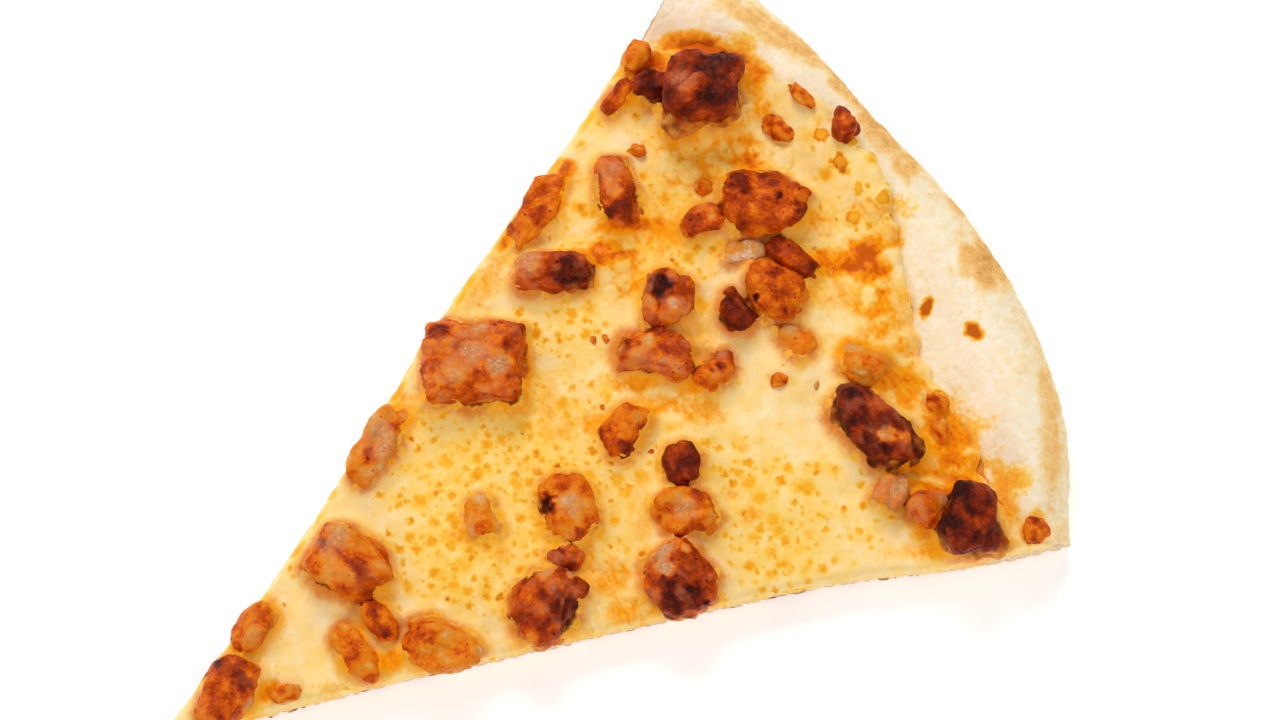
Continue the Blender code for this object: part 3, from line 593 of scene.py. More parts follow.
def wired(made, sockets):
    """A material with sockets linked to its shader's inputs."""
    for name, socket in sockets.items():
        made.node_tree.links.new(socket, made.node_tree.nodes["Principled BSDF"].inputs[name])
    return made


def cheese_material(look):
    """Mozzarella, melted and toasted under the oven's top heat: a wet, milky skin with soft golden flecks."""
    made, add = new_material(
        "Melted toasted mozzarella",
        {
            "IOR": 1.45,
            "Specular IOR Level": 0.12,
            "Subsurface Weight": 0.2,
            "Subsurface Radius": (1.0, 0.6, 0.25),
            "Subsurface Scale": 1.0 * MM,
        },
    )
    place = add("TexCoord", out="Object")
    hot, oil, film, toast = (
        add("Attribute", attribute_name=field, out="Fac") for field in ("hot", "oil", "film", "toast")
    )
    # Curds 4 mm across show as paler and yellower clouds, and fat grains 0.8 mm across break every edge.
    curds = add(
        "TexNoise", {"Scale": 1 / (4 * MM), "Detail": 4, "Roughness": 0.6, "Distortion": 0.6}, {"Vector": place}
    )
    grains = add("TexNoise", {"Scale": 1 / (0.8 * MM), "Detail": 3, "Roughness": 0.6}, {"Vector": place})
    clouds = add("MapRange", {"To Min": 0.25, "To Max": 0.7}, {"Value": curds})
    yellow = add("Math", {1: 0.11}, {0: hot, 2: clouds}, operation="MULTIPLY_ADD")
    tones = [(0.36, "#FFEABE"), (0.48, tuple(look.cream)), (0.6, "#FFD270"), (0.72, "#FCC24A")]
    colour = add("ValToRGB", links={"Fac": yellow}, stops=tones)

    def over(amount, start, full, tones, under, broken=0.4):
        """Lays a colour ramp over a colour where the amount, its edge broken by the grains, passes the start."""
        mean = broken / 2
        edge = add("Math", {1: broken}, {0: grains, 2: amount}, operation="MULTIPLY_ADD")
        share = add("MapRange", {"From Min": start + mean, "From Max": full + mean}, {"Value": edge})
        ramp = add("ValToRGB", links={"Fac": edge}, stops=[(at + mean, tone) for at, tone in tones])
        return add("Mix", links={"Factor": share, 6: under, 7: ramp}, out=2, data_type="RGBA")

    colour = over(film, 0.36, 1.05, [(0.4, "#FBCA68"), (0.65, "#F2A538"), (0.85, "#E07C18")], colour)
    # Oil runs in streaks 1.5 mm apart and twice as long.
    drawn_out = add("Mapping", {"Rotation": (0, 0, math.radians(35)), "Scale": (1, 2, 1)}, {"Vector": place})
    streaks = add(
        "TexNoise", {"Scale": 1 / (3 * MM), "Detail": 4, "Roughness": 0.6, "Distortion": 0.9}, {"Vector": drawn_out}
    )
    centred = add("Math", {1: 0.5}, {0: streaks}, operation="SUBTRACT")
    streaked = add("Math", {1: 0.5}, {0: centred, 2: oil}, operation="MULTIPLY_ADD")
    tones = [
        (0.05, "#FED75E"), (0.2, "#FEC22C"), (0.4, "#FDAE0C"), (0.58, "#F99600"), (0.7, "#EC7600"), (0.8, "#D05C00")
    ]
    colour = over(streaked, 0.05, 0.5, tones, colour)
    # Flecks in three sizes: each cell draws whether it has one, how large and how dark it is.
    eddies = add("TexNoise", {"Scale": 1 / (1.1 * MM)}, {"Vector": place}, out="Color")
    wavy = add("Mix", {"Factor": 1.8 * MM}, {4: place, 5: eddies}, out=1, data_type="VECTOR")
    for spacing, darkest in ((3.8, 0.54), (2.6, 0.62), (1.7, 0.74)):
        away = add("TexVoronoi", {"Scale": 1 / (spacing * MM)}, {"Vector": wavy})
        drawn = add("SeparateColor", links={"Color": away.node.outputs["Color"]}).node.outputs
        chance = add("Math", links={0: hot, 1: drawn[0]}, operation="SUBTRACT")
        present = add("MapRange", {"From Min": -0.02, "From Max": 0.25}, {"Value": chance})
        radius = add("Math", {1: 0.34, 2: 0.27}, {0: drawn[1]}, operation="MULTIPLY_ADD")
        inside = add("Math", links={0: radius, 1: away}, operation="SUBTRACT")
        strength = add("Math", {1: 0.7 * darkest, 2: 0.3 * darkest}, {0: drawn[2]}, operation="MULTIPLY_ADD")
        spot = add("MapRange", {"From Min": -0.1, "From Max": 0.36}, {"Value": inside, "To Max": strength})
        fleck = add("Math", links={0: spot, 1: present}, operation="MULTIPLY")
        toast = add("Math", links={0: fleck, 1: toast}, operation="MAXIMUM")
    tones = [(0.05, "#FFD660"), (0.22, "#FFC238"), (0.4, tuple(look.toast)), (0.6, "#E88C14"), (0.8, "#B05410")]
    colour = over(toast, 0.02, 0.3, tones, colour, 0.14)
    gloss = add("MapRange", {"From Min": 0.35, "From Max": 0.7, "To Min": 0.32, "To Max": 0.6}, {"Value": grains})
    skin = add("Bump", {"Strength": 0.4, "Distance": 0.12 * MM}, {"Height": grains})
    return wired(made, {"Base Color": colour, "Roughness": gloss, "Normal": skin})


def chicken_material():
    """Chicken thigh, glazed with sauce and roasted: sticky, red-brown and shiny, with pale meat where it is torn."""
    made, add = new_material(
        "Roasted glazed chicken",
        {
            "IOR": 1.45,
            "Specular IOR Level": 0.12,
            "Subsurface Weight": 0.08,
            "Subsurface Radius": (1.0, 0.35, 0.2),
            "Subsurface Scale": 0.6 * MM,
        },
    )
    place = add("TexCoord", out="Object")
    # The first attribute holds the meat's browning, with painted shade added in the valleys between knobs.
    browning_and_crease_shade, film, melt = (add("Attribute", attribute_name=field, out="Fac") for field in ("browning_and_crease_shade", "film", "melt"))
    # Blotches of glaze 1.5 mm across, and fibres drawn 0.5 mm apart so that they show.
    blotches = add("TexNoise", {"Scale": 1 / (1.5 * MM), "Detail": 5, "Roughness": 0.65}, {"Vector": place})
    fibres = add("TexNoise", {"Scale": 1 / (0.5 * MM), "Distortion": 1.2}, {"Vector": place})
    blotched = add("Math", {1: 0.54}, {0: blotches, 2: browning_and_crease_shade}, operation="MULTIPLY_ADD")
    mottled = add("Math", {1: 0.36}, {0: fibres, 2: blotched}, operation="MULTIPLY_ADD")
    level = add("Math", {1: 0.45}, {0: mottled}, operation="SUBTRACT")
    # Charred specks 0.3 mm across, on one place in three, 1.8 mm apart.
    away = add("TexVoronoi", {"Scale": 1 / (1.8 * MM)}, {"Vector": place})
    drawn = add("SeparateColor", links={"Color": away.node.outputs["Color"]})
    chosen = add("Math", {1: 0.66}, {0: drawn}, operation="GREATER_THAN")
    speck = add("MapRange", {"From Min": 0.17, "From Max": 0.08}, {"Value": away})
    charred = add("Math", links={0: speck, 1: chosen}, operation="MULTIPLY")
    level = add("Math", {1: 0.35}, {0: charred, 2: level}, operation="MULTIPLY_ADD")
    tones = [
        (0.0, "#E6C6A6"), (0.1, "#E0A45C"), (0.22, "#E68E1E"), (0.34, "#EC7A00"), (0.46, "#D65600"),
        (0.58, "#B03C00"), (0.7, "#8A2803"), (0.84, "#641803"), (1.0, "#300A03"),
    ]
    glaze = add("ValToRGB", links={"Fac": level}, stops=tones)
    # A pinkish film of fat and cheese lies over parts, and cheese has melted over the flanks.
    veil = add("Math", links={0: film, 1: blotches}, operation="MULTIPLY")
    share = add("MapRange", {"From Min": 0.08, "From Max": 0.44, "To Max": 0.85}, {"Value": veil})
    tones = [(0.3, "#AE5C34"), (0.5, "#C98A60"), (0.7, "#E6C09A")]
    veiled = add("ValToRGB", links={"Fac": fibres}, stops=tones)
    colour = add("Mix", links={"Factor": share, 6: glaze, 7: veiled}, out=2, data_type="RGBA")
    tones = [(0.32, "#B8540C"), (0.5, "#E48A28"), (0.68, "#F4BA62")]
    melted = add("ValToRGB", links={"Fac": blotches}, stops=tones)
    colour = add("Mix", links={"Factor": melt, 6: colour, 7: melted}, out=2, data_type="RGBA")
    gloss = add("MapRange", {"From Min": 0.35, "From Max": 0.65, "To Min": 0.2, "To Max": 0.5}, {"Value": blotches})
    grain = add("Bump", {"Strength": 0.8, "Distance": 0.25 * MM}, {"Height": fibres})
    return wired(made, {"Base Color": colour, "Roughness": gloss, "Normal": grain})


def dough_material(look):
    """Wheat dough, stretched, floured and baked: a dry, matt skin that browns in freckles, and a cream crumb."""
    made, add = new_material(
        "Baked floured dough",
        {
            "Roughness": 0.8,
            "IOR": 1.45,
            "Specular IOR Level": 0.2,
            "Subsurface Weight": 0.1,
            "Subsurface Radius": (1.0, 0.6, 0.3),
            "Subsurface Scale": 0.8 * MM,
        },
    )
    place = add("TexCoord", out="Object")
    bake, splash, crumb = (add("Attribute", attribute_name=field, out="Fac") for field in ("bake", "oil", "crumb"))
    # Freckles 0.8 mm across where the skin has blistered, and clouds 7 mm across where flour lies thicker.
    freckles = add("TexNoise", {"Scale": 1 / (0.8 * MM), "Detail": 4, "Roughness": 0.7}, {"Vector": place})
    clouds = add("TexNoise", {"Scale": 1 / (7 * MM), "Detail": 4, "Roughness": 0.6}, {"Vector": place})
    freckled = add("Math", {1: 0.5}, {0: freckles, 2: bake}, operation="MULTIPLY_ADD")
    clouded = add("Math", {1: 0.3}, {0: clouds, 2: freckled}, operation="MULTIPLY_ADD")
    # Grains of semolina stand golden on the baked places. They are 0.4 mm across, and drawn 0.6 mm apart.
    grits = add("TexVoronoi", {"Scale": 1 / (0.6 * MM)}, {"Vector": place})
    near = add("MapRange", {"From Min": 0.45, "From Max": 0.1, "To Max": 0.25}, {"Value": grits})
    golden = add("Math", links={0: near, 1: bake}, operation="MULTIPLY")
    spotted = add("Math", links={0: golden, 1: clouded}, operation="ADD")
    level = add("Math", {1: 0.4}, {0: spotted}, operation="SUBTRACT")
    tones = [
        (0.0, "#FDEED6"), (0.15, tuple(look.pale)), (0.3, "#F9D392"), (0.45, tuple(look.golden)),
        (0.7, tuple(look.brown)), (1.0, "#6E3C1C"),
    ]
    skin = add("ValToRGB", links={"Fac": level}, stops=tones)
    inside = add("ValToRGB", links={"Fac": freckles}, stops=[(0.3, "#D9A878"), (0.6, "#F3D8AE")])
    colour = add("Mix", links={"Factor": crumb, 6: skin, 7: inside}, out=2, data_type="RGBA")
    # Sauce and oil have soaked in, with an edge that the freckles break.
    edge = add("Math", {1: 0.5}, {0: freckles, 2: splash}, operation="MULTIPLY_ADD")
    share = add("MapRange", {"From Min": 0.3, "From Max": 0.52}, {"Value": edge})
    tones = [(0.34, "#FFDF8C"), (0.5, "#FFCB50"), (0.75, "#F89C18"), (1.0, "#C86008")]
    soaked = add("ValToRGB", links={"Fac": edge}, stops=tones)
    colour = add("Mix", links={"Factor": share, 6: colour, 7: soaked}, out=2, data_type="RGBA")
    # Cracks in the dried flour, 1.5 mm apart.
    cracks = add(
        "TexNoise", {"Scale": 1 / (1.5 * MM), "Detail": 5, "Roughness": 0.7, "Distortion": 0.8}, {"Vector": place}
    )
    grain = add("Bump", {"Strength": 0.6, "Distance": 0.25 * MM}, {"Height": cracks})
    return wired(made, {"Base Color": colour, "Normal": grain})


def sauce_material():
    """Tomato sauce, baked thin: a moist orange-red smear that pales where oil has soaked into the dough."""
    made, add = new_material("Baked tomato sauce", {"Roughness": 0.45, "IOR": 1.4, "Specular IOR Level": 0.3})
    # Smears 2 mm across.
    smears = add(
        "TexNoise", {"Scale": 1 / (2 * MM), "Detail": 4, "Roughness": 0.6}, {"Vector": add("TexCoord", out="Object")}
    )
    oil = add("Attribute", attribute_name="oil", out="Fac")
    smeared = add("Math", {1: 0.4}, {0: smears, 2: oil}, operation="MULTIPLY_ADD")
    tones = [(0.15, "#F2D9AC"), (0.3, "#F5CB7E"), (0.5, "#F0A535"), (0.8, "#D5690D"), (1.0, "#9C3607")]
    colour = add("ValToRGB", links={"Fac": smeared}, stops=tones)
    soft = add("Bump", {"Strength": 0.4, "Distance": 0.2 * MM}, {"Height": smears})
    return wired(made, {"Base Color": colour, "Normal": soft})


def oil_at(x, y):
    """How much oily sauce shows at each plan place."""
    waver = 0.5 * bumps(x, y, 3.5 * MM, 31) + 0.25 * bumps(x, y, 1.2 * MM, 32)
    haze = 0.12 * smooth(0.5 + bumps(x, y, 9 * MM, 33))
    return np.clip(patched(x, y, STAINS, 0.7, waver) + haze - 0.05, 0, 1)


def blistered(x, y):
    """(rise, toast, pale) of the blisters at each plan place."""
    rise, toast, pale = (np.zeros(len(x)) for _ in range(3))
    waver = 0.55 * bumps(x, y, 1.8 * MM, 44) + 0.35 * bumps(x, y, 0.8 * MM, 45)
    for patch in BLISTERS:
        away = patch_distance(x, y, patch) + waver
        rise = np.maximum(rise, BLISTER_HEIGHT * patch[2] / 2 * np.sqrt(np.clip(1 - away**2, 0, 1)))
        ring = np.exp(-(((away - 0.95) / 0.28) ** 2))
        if patch[5] > 0:
            toast = np.maximum(toast, patch[5] * (0.62 + 0.38 * ring) * smooth((1.3 - away) / 0.4))
        else:
            pale = np.maximum(pale, -patch[5] * smooth((1.05 - away) / 0.3))
            toast = np.maximum(toast, 0.35 * patch[5] ** 2 * ring)
    return rise, toast, pale


def cheese_bottom(spots):
    return dough_top(spots) + LAYER_GAP + SAUCE_THICKNESS + LAYER_GAP


def cheese_top(spots):
    """The top of the cheese where no chicken draws it up."""
    swell = CHEESE_SWELL * bumps(spots.x, spots.y, CHEESE_SWELL_SPACING, 7)
    ripple = CHEESE_RIPPLE * bumps(spots.x, spots.y, CHEESE_RIPPLE_SPACING, 11)
    shreds = 0.2 * MM * bumps(spots.x, spots.y, 2.6 * MM, 12) + 0.08 * MM * bumps(spots.x, spots.y, 1.1 * MM, 13)
    edge = np.sqrt(np.clip(spots.to_cheese_edge / CHEESE_EDGE_TAPER, 0, 1))
    thickness = CHEESE_EDGE_THICKNESS + (CHEESE_THICKNESS + swell + ripple - CHEESE_EDGE_THICKNESS) * edge
    return cheese_bottom(spots) + thickness + shreds * (0.3 + 0.7 * edge) - 0.7 * MM * (1 - edge) ** 2


def drawn_up(spots, free, look):
    """(top, film): the cheese's top where it climbs the chicken, and how near it is to the chicken."""
    drape = draped(look.climb_width, footprints())
    share = np.clip(look.climb + 0.7 * bumps(spots.x, spots.y, 5 * MM, 14), 0.2, 1)
    share *= 1 - 0.6 * read_grid(drape.inside, spots.x, spots.y)
    rise = read_grid(drape.rise, spots.x, spots.y) * share
    return free + rise, read_grid(drape.nearness, spots.x, spots.y)


def cheese_walls(ring, bottom):
    """Rings of points from the edge of the cheese's top down to its foot, bulging and wavering."""
    tangent = np.roll(ring[:, :2], -1, 0) - np.roll(ring[:, :2], 1, 0)
    outward = np.column_stack((tangent[:, 1], -tangent[:, 0])) / np.linalg.norm(tangent, axis=1)[:, None]
    sags = MM * np.clip(0.8 + 1.8 * bumps(ring[:, 0], ring[:, 1], 4 * MM, 21), 0, 2)
    rings = []
    for level in range(1, CHEESE_WALL_RINGS + 1):
        share = level / CHEESE_WALL_RINGS
        height = ring[:, 2] + (bottom - sags - ring[:, 2]) * share
        waver = bumps(ring[:, 0], ring[:, 1] + height * 2, 1.7 * MM, 22)
        bulge = WALL_BULGE * math.sin(math.pi * share) + WALL_WAVER * waver
        plan = ring[:, :2] + outward * (bulge * math.sin(math.pi * min(share, 0.75)))[:, None]
        rings.append(np.column_stack((plan, height)))
    return rings


def cheese_piece(look, finish):
    """The melted cheese: its lumpy top, its rounded cut sides and its thin outer edge."""
    row, across, triangles, loop = lattice(look.rows)
    short = 1.7 * MM + 1.3 * MM * bumps(200 * across, 0 * across, 5, 15)
    spots = spots_at((along_curve(CHEESE_RADII, across) - short) * row / look.rows, across)
    spots = spots._replace(to_cheese_edge=spots.to_cheese_edge - short * row / look.rows)
    x, y = spots.x, spots.y
    bottom = cheese_bottom(spots)
    top, film = drawn_up(spots, cheese_top(spots), look)
    rise, toast, pale = blistered(x, y)
    top += rise
    bare = patched(x, y, BARE_ZONES, 0.4, 0.3 * bumps(x, y, 4 * MM, 49))
    curdled = patched(x, y, CURD_ZONES, 0.6, 0.5 * bumps(x, y, 5 * MM, 46)) * (1 - bare)
    curd, between = knobs(np.column_stack((x, y, 0.6 * MM * bumps(x, y, 2 * MM, 47))), CURD_SPACING, 48)
    top += CURD_HEIGHT * curdled * (curd - 0.6)
    between = np.maximum(between, np.clip((0.8 - curd) / 0.4, 0, 1))
    # The cut edges have melted into a rounded shoulder.
    shoulder = np.clip(1 - spots.to_cut / SHOULDER_WIDTH, 0, 1)
    top -= np.minimum(SHOULDER_DROP * (1 - np.sqrt(1 - shoulder**2)), 0.6 * (top - bottom))
    flecked = 0.12 + patched(x, y, FLECK_ZONES, 0.45, 0.3 * bumps(x, y, 5 * MM, 43))
    oil = (oil_at(x, y) * (1 - 0.3 * curdled * curd) + 0.2 * curdled * between) * (1 - pale)
    hot = np.maximum(flecked, 0.35 * (film > 0.4)) * (1 - bare) * (1 - 0.9 * smooth(oil / 0.6))
    toast *= 1 - 0.5 * smooth(oil / 0.6)
    # The left-hand cut has crisped in places.
    crisp = np.clip(0.25 + 1.8 * bumps(x, y, 4 * MM, 50), 0, 1)
    crisp *= smooth(1.5 - spots.to_cut / CRISPED_WIDTH) * (x < 0)
    points = np.column_stack((x, y, top))
    rings = cheese_walls(points[loop], bottom[loop] - CHEESE_SINK)
    foot = BASE_THICKNESS + 2 * LAYER_GAP + SAUCE_THICKNESS
    all_points, faces = closed(points, triangles, loop, rings, foot)
    # The field, and how far it fades at the sides.
    fields = {
        "toast": (np.maximum(toast, 0.45 * crisp), 0.6),
        "hot": (hot, 1),
        "oil": (np.maximum(oil, 0.8 * crisp), 1),
        "film": (film * (1 - 0.6 * pale), 0.7),
    }
    fields = {name: carried(values, loop, len(rings) + 1, fade) for name, (values, fade) in fields.items()}
    return new_piece("melted_cheese", all_points, faces, fields, finish)


def sauce_piece(finish):
    """The sauce: a thin layer that shows as a line at the cuts and dips into the dough past the cheese."""
    row, across, triangles, loop = lattice(SAUCE_ROWS)
    cheese, rim = along_curve(CHEESE_RADII, across), along_curve(RIM_RADII, across)
    spots = spots_at((cheese + SAUCE_REACH * (rim - cheese)) * row / SAUCE_ROWS, across)
    past = smooth((3.5 * MM - spots.to_cheese_edge) / (2.5 * MM))
    waver = SAUCE_WAVER * bumps(spots.x, spots.y, 2 * MM, 51)
    dough = dough_top(spots)
    top = dough + LAYER_GAP + SAUCE_THICKNESS + 0.15 * MM + waver - SAUCE_DIP * past
    points = np.column_stack((spots.x, spots.y, top))
    ring = points[loop].copy()
    ring[:, 2] = dough[loop] - SAUCE_SINK
    all_points, faces = closed(points, triangles, loop, [ring], BASE_THICKNESS - SAUCE_SINK)
    soaked = np.clip(oil_at(spots.x, spots.y) * 0.9 + 0.12 * (spots.to_cut < 0.3 * MM), 0, 1)
    return new_piece("sauce_layer", all_points, faces, {"oil": carried(soaked, loop, 2)}, finish)


def dough_patches(cell):
    """The patches of the dough's surface, each as its points, its faces and what kind of surface it is."""
    patches = []

    def grid(xs, ys, zs, shape, flip, kind):
        index = np.arange(len(xs)).reshape(shape)
        corners = (index[:-1, :-1], index[1:, :-1], index[1:, 1:], index[:-1, 1:])
        quads = np.stack([corner.ravel() for corner in (corners[::-1] if flip else corners)], 1)
        patches.append((np.column_stack((xs, ys, zs)), quads, np.full(len(xs), kind)))

    def wall(spots, flip, kind):
        low, high = dough_bottom(spots), dough_top(spots)
        zs = (low[:, None] + (high - low)[:, None] * np.linspace(0, 1, DOUGH_WALL_LEVELS)).ravel()
        xs, ys = np.repeat(spots.x, DOUGH_WALL_LEVELS), np.repeat(spots.y, DOUGH_WALL_LEVELS)
        grid(xs, ys, zs, (len(low), DOUGH_WALL_LEVELS), flip, kind)

    # The rim's top and underside. Rows close up towards the steep outer edge.
    inset = FINE_RIM_WIDTH * (1 - np.sin(np.linspace(0, math.pi / 2, int(FINE_RIM_WIDTH / cell * 1.25))))
    columns = np.linspace(0, 1, RIM_COLUMNS)
    across = np.repeat(columns, len(inset))
    rim = spots_at(along_curve(RIM_RADII, across) - np.tile(inset, RIM_COLUMNS), across)
    grid(rim.x, rim.y, dough_top(rim), (RIM_COLUMNS, len(inset)), True, SKIN)
    grid(rim.x, rim.y, dough_bottom(rim), (RIM_COLUMNS, len(inset)), False, UNDERSIDE)
    wall(spots_at(along_curve(RIM_RADII, columns), columns), False, SKIN)
    # The cut faces, from the tip to the outer edge.
    for side in (0.0, 1.0):
        radius = along_curve(RIM_RADII, np.array([side]))[0]
        inner = np.linspace(0, radius - FINE_RIM_WIDTH, int((radius - FINE_RIM_WIDTH) / cell))[:-1]
        radii = np.concatenate((inner, radius - inset))
        wall(spots_at(radii, np.full(len(radii), side)), side == 0, CUT)
    # The flat underside, up to the rim.
    row, across, triangles, _ = lattice(UNDERSIDE_ROWS)
    under = spots_at((along_curve(RIM_RADII, across) - FINE_RIM_WIDTH) * row / UNDERSIDE_ROWS, across)
    points = np.column_stack((under.x, under.y, np.zeros(len(row))))
    patches.append((points, triangles[:, ::-1], np.full(len(row), UNDERSIDE)))
    return patches


def joined(patches):
    """(points, faces, kinds) of one mesh from patches, where points that patches share become one."""
    points, kinds = (np.concatenate([patch[n] for patch in patches]) for n in (0, 2))
    cells = np.round(points / MERGE_DISTANCE).astype(np.int64)
    _, keep, merged = np.unique(cells, axis=0, return_index=True, return_inverse=True)
    merged = merged.ravel()
    faces, start = [], 0
    for patch_points, patch_faces, _ in patches:
        faces += [tuple(dict.fromkeys(face)) for face in merged[patch_faces + start].tolist()]
        start += len(patch_points)
    on_cut = np.zeros(len(keep), dtype=bool)
    on_cut[merged[kinds == CUT]] = True
    return points[keep], [face for face in faces if len(face) > 2], np.where(on_cut, CUT, kinds[keep])


def dough_piece(look, finish):
    """The dough: its craggy rim, its cut faces with air holes and its brown baked underside."""
    points, faces, kinds = joined(dough_patches(look.cell))
    mesh = bpy.data.meshes.new("dough shape")
    mesh.from_pydata(points.tolist(), [], faces)
    normals = vertex_normals(mesh)
    bpy.data.meshes.remove(mesh)
    x, y, z = points.T
    reach = np.hypot(x, y)
    across = np.clip(0.5 - np.arctan2(x, y) / (2 * HALF_ANGLE), 0, 1)
    to_rim = along_curve(RIM_RADII, across) - reach
    skin, cut, below = ((kinds == kind).astype(float) for kind in (SKIN, CUT, UNDERSIDE))
    broad = lumps(points, 5 * MM, 1)
    fine = lumps(points, 1.3 * MM, 2)
    tiny = lumps(points, 0.6 * MM, 3)
    wrinkle = 1 - np.clip(np.abs(lumps(points * (1, 1, 0.5), 4.5 * MM, 4)) / 0.12, 0, 1)
    holes = np.clip((lumps(points, 1.8 * MM, 5) - 0.12) / 0.3, 0, 1)
    pits = np.clip((lumps(points, 3 * MM, 6) - 0.05) / 0.4, 0, 1)
    lift = skin * (look.crag * (0.5 * broad + 0.35 * fine + 0.12 * tiny) - WRINKLE_DEPTH * wrinkle)
    below_top = smooth((dough_top(spots_at(reach, across)) - z) / (0.8 * MM))
    lift += cut * (0.18 * MM * fine + 0.08 * MM * tiny - look.air_hole * holes - 0.1 * MM) * below_top
    lift -= below * (0.08 * MM + PIT_DEPTH * pits + 0.06 * MM * np.abs(fine))
    points = points + normals * lift[:, None]
    # The cuts lean in towards the foot, except at the tip.
    to_cut = reach * np.sin(2 * HALF_ANGLE * np.minimum(across, 1 - across))
    lean = look.undercut * np.clip(1 - z / BASE_THICKNESS, 0, 1) * smooth(1 - to_cut / (8 * MM)) * smooth(y / (14 * MM))
    points[:, 0] -= lean * np.sign(x) * math.cos(HALF_ANGLE)
    points[:, 1] += lean * math.sin(HALF_ANGLE)
    points[:, 2] = np.maximum(points[:, 2], 0)

    scorch = patched(x, y, RIM_SCORCHES, 0.5, 0.5 * bumps(x, y, 3 * MM, 61))
    outer = smooth((9 * MM - to_rim) / (9 * MM))
    side = smooth((3.5 * MM - z) / (3 * MM)) * (to_rim < 1.2 * MM)
    bake = skin * (0.08 + 0.15 * outer * (0.8 + 0.8 * broad) + 0.35 * side + 0.75 * scorch + 0.1 * fine - 0.1 * wrinkle)
    bake += below * (0.5 + 0.3 * lumps(points, 8 * MM, 7) + 0.25 * fine - 0.3 * pits)
    burnt = smooth((1.7 * MM + 1.4 * MM * broad - z) / (0.8 * MM))
    bake += cut * (0.1 + 0.75 * burnt)
    crumb = cut * (1 - burnt) * (0.3 + 0.7 * below_top)
    splash = patched(x, y, RIM_SPLASHES, 0.5, 0.4 * bumps(x, y, 1.2 * MM, 62)) * skin
    fields = {"bake": bake, "crumb": crumb, "oil": np.maximum(splash, 0.8 * skin * oil_at(x, y) * (to_rim > 3 * MM))}
    return new_piece("baked_dough", points, faces, fields, finish)


def browned_at(points, base, patches):
    """(browning, film) of a piece of chicken at points in slice metres, from its base tone and its patches."""
    x, y = points[:, 0], points[:, 1]
    waver = 0.9 * lumps(points, 1.9 * MM, 71) + 0.5 * lumps(points, 0.8 * MM, 72)
    browning_and_crease_shade = base + 0.16 * lumps(points, 3.2 * MM, 73)
    film = np.zeros(len(points))
    for aside, along, radius, tone, veil in patches:
        away = patch_distance(x, y, (aside, along, radius, radius, 0)) + waver
        share = smooth((1.7 - away) / 1.2)
        browning_and_crease_shade = browning_and_crease_shade + (tone - browning_and_crease_shade) * share
        film = np.maximum(film * (1 - share * (veil < 0.1)), veil * smooth((1.9 - away + waver) / 1.7))
    return browning_and_crease_shade, film


def craggy(points, axis, look):
    """(lift, valley, tone): how far the meat stands out, how deep in a valley it lies, and its bundle's own tone."""
    wavered = points + 0.5 * MM * lumps(points, 1.8 * MM, 80)[:, None]
    drawn = wavered - 0.65 * np.outer(wavered @ axis, axis)
    rise, valley = knobs(drawn, look.knob_width, 81)
    fine_rise, fine_valley = knobs(wavered, 1.4 * MM, 82)
    bundles = lumps(drawn, 1.3 * MM, 85)
    lift = look.lump * lumps(points, 5 * MM, 83) + look.knob * (rise - 0.55) - 0.25 * look.knob * valley
    lift += 0.15 * MM * (fine_rise - 0.6) + 0.3 * MM * bundles + look.fibre * lumps(drawn, 0.5 * MM, 84)
    # The second value is a share for painted shade, which darkens the meat in the valleys between knobs.
    fold = lumps(points, 3 * MM, 86)
    return lift, np.clip(0.6 * valley * smooth(0.6 + fold) + 0.25 * fine_valley, 0, 1), 0.8 * fold + 0.5 * bundles


def remeshed(source, voxel):
    """A solid's mesh, remeshed fine and rounded."""
    copy = bpy.data.objects.new("rough meat", source.data.copy())
    bpy.context.scene.collection.objects.link(copy)
    remesh = copy.modifiers.new("Fine", "REMESH")
    remesh.mode = "VOXEL"
    remesh.voxel_size = voxel
    rounding = copy.modifiers.new("Rounding", "SMOOTH")
    rounding.factor = 0.5
    rounding.iterations = 4
    shaped = bpy.data.meshes.new_from_object(copy.evaluated_get(bpy.context.evaluated_depsgraph_get()))
    rough = copy.data
    bpy.data.objects.remove(copy)
    bpy.data.meshes.remove(rough)
    return shaped


def chicken_look(name, look, finish, piece):
    """One piece of chicken: its solid remeshed fine, then creased, fibred and coloured."""
    shaped = remeshed(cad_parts[name], look.voxel)
    points, normals = plan_points(shaped), vertex_normals(shaped)
    faces = [tuple(face.vertices) for face in shaped.polygons]
    bpy.data.meshes.remove(shaped)
    axis = np.array((piece.cos, piece.sin, 0.15))
    lift, valley, tone = craggy(points, axis / np.linalg.norm(axis), look)
    points = points + normals * lift[:, None]
    points[:, 2] -= CHICKEN_SINK
    base, patches = CHICKEN_LOOKS[name.removeprefix("chicken_")]
    browning_and_crease_shade, film = browned_at(points, base, patches)
    # Painted shade: the meat is coloured darker in the valleys between knobs, on top of its browning and its bundles'
    # own tone.
    browning_and_crease_shade = np.clip(browning_and_crease_shade + 0.22 * valley + 0.14 * tone, 0, 1)
    # Every piece has wisps of film, and one with patches of it has more. The film thins in the valleys between knobs,
    # as painted shade.
    veiled = 0.1 + 0.65 * sum(patch[4] for patch in patches) / max(len(patches), 1)
    film = np.clip(np.maximum(film, veiled * smooth(0.5 - 1.6 * tone)) * (1.1 - 0.9 * valley), 0, 1)
    climb = (points[:, 2] - piece.foot) / (piece.top - piece.foot)
    melt = 0.9 * smooth((0.5 - climb + 0.4 * lumps(points, 1.9 * MM, 91)) / 0.45)
    return new_piece(name + "_look", points, faces, {"browning_and_crease_shade": browning_and_crease_shade, "film": film, "melt": melt}, finish)


def ball(detail):
    """Unit points and faces of an icosphere."""
    bm = bmesh.new()
    bmesh.ops.create_icosphere(bm, subdivisions=detail, radius=1)
    points = np.array([tuple(vert.co) for vert in bm.verts])
    faces = np.array([[vert.index for vert in face.verts] for face in bm.faces])
    bm.free()
    return points, faces


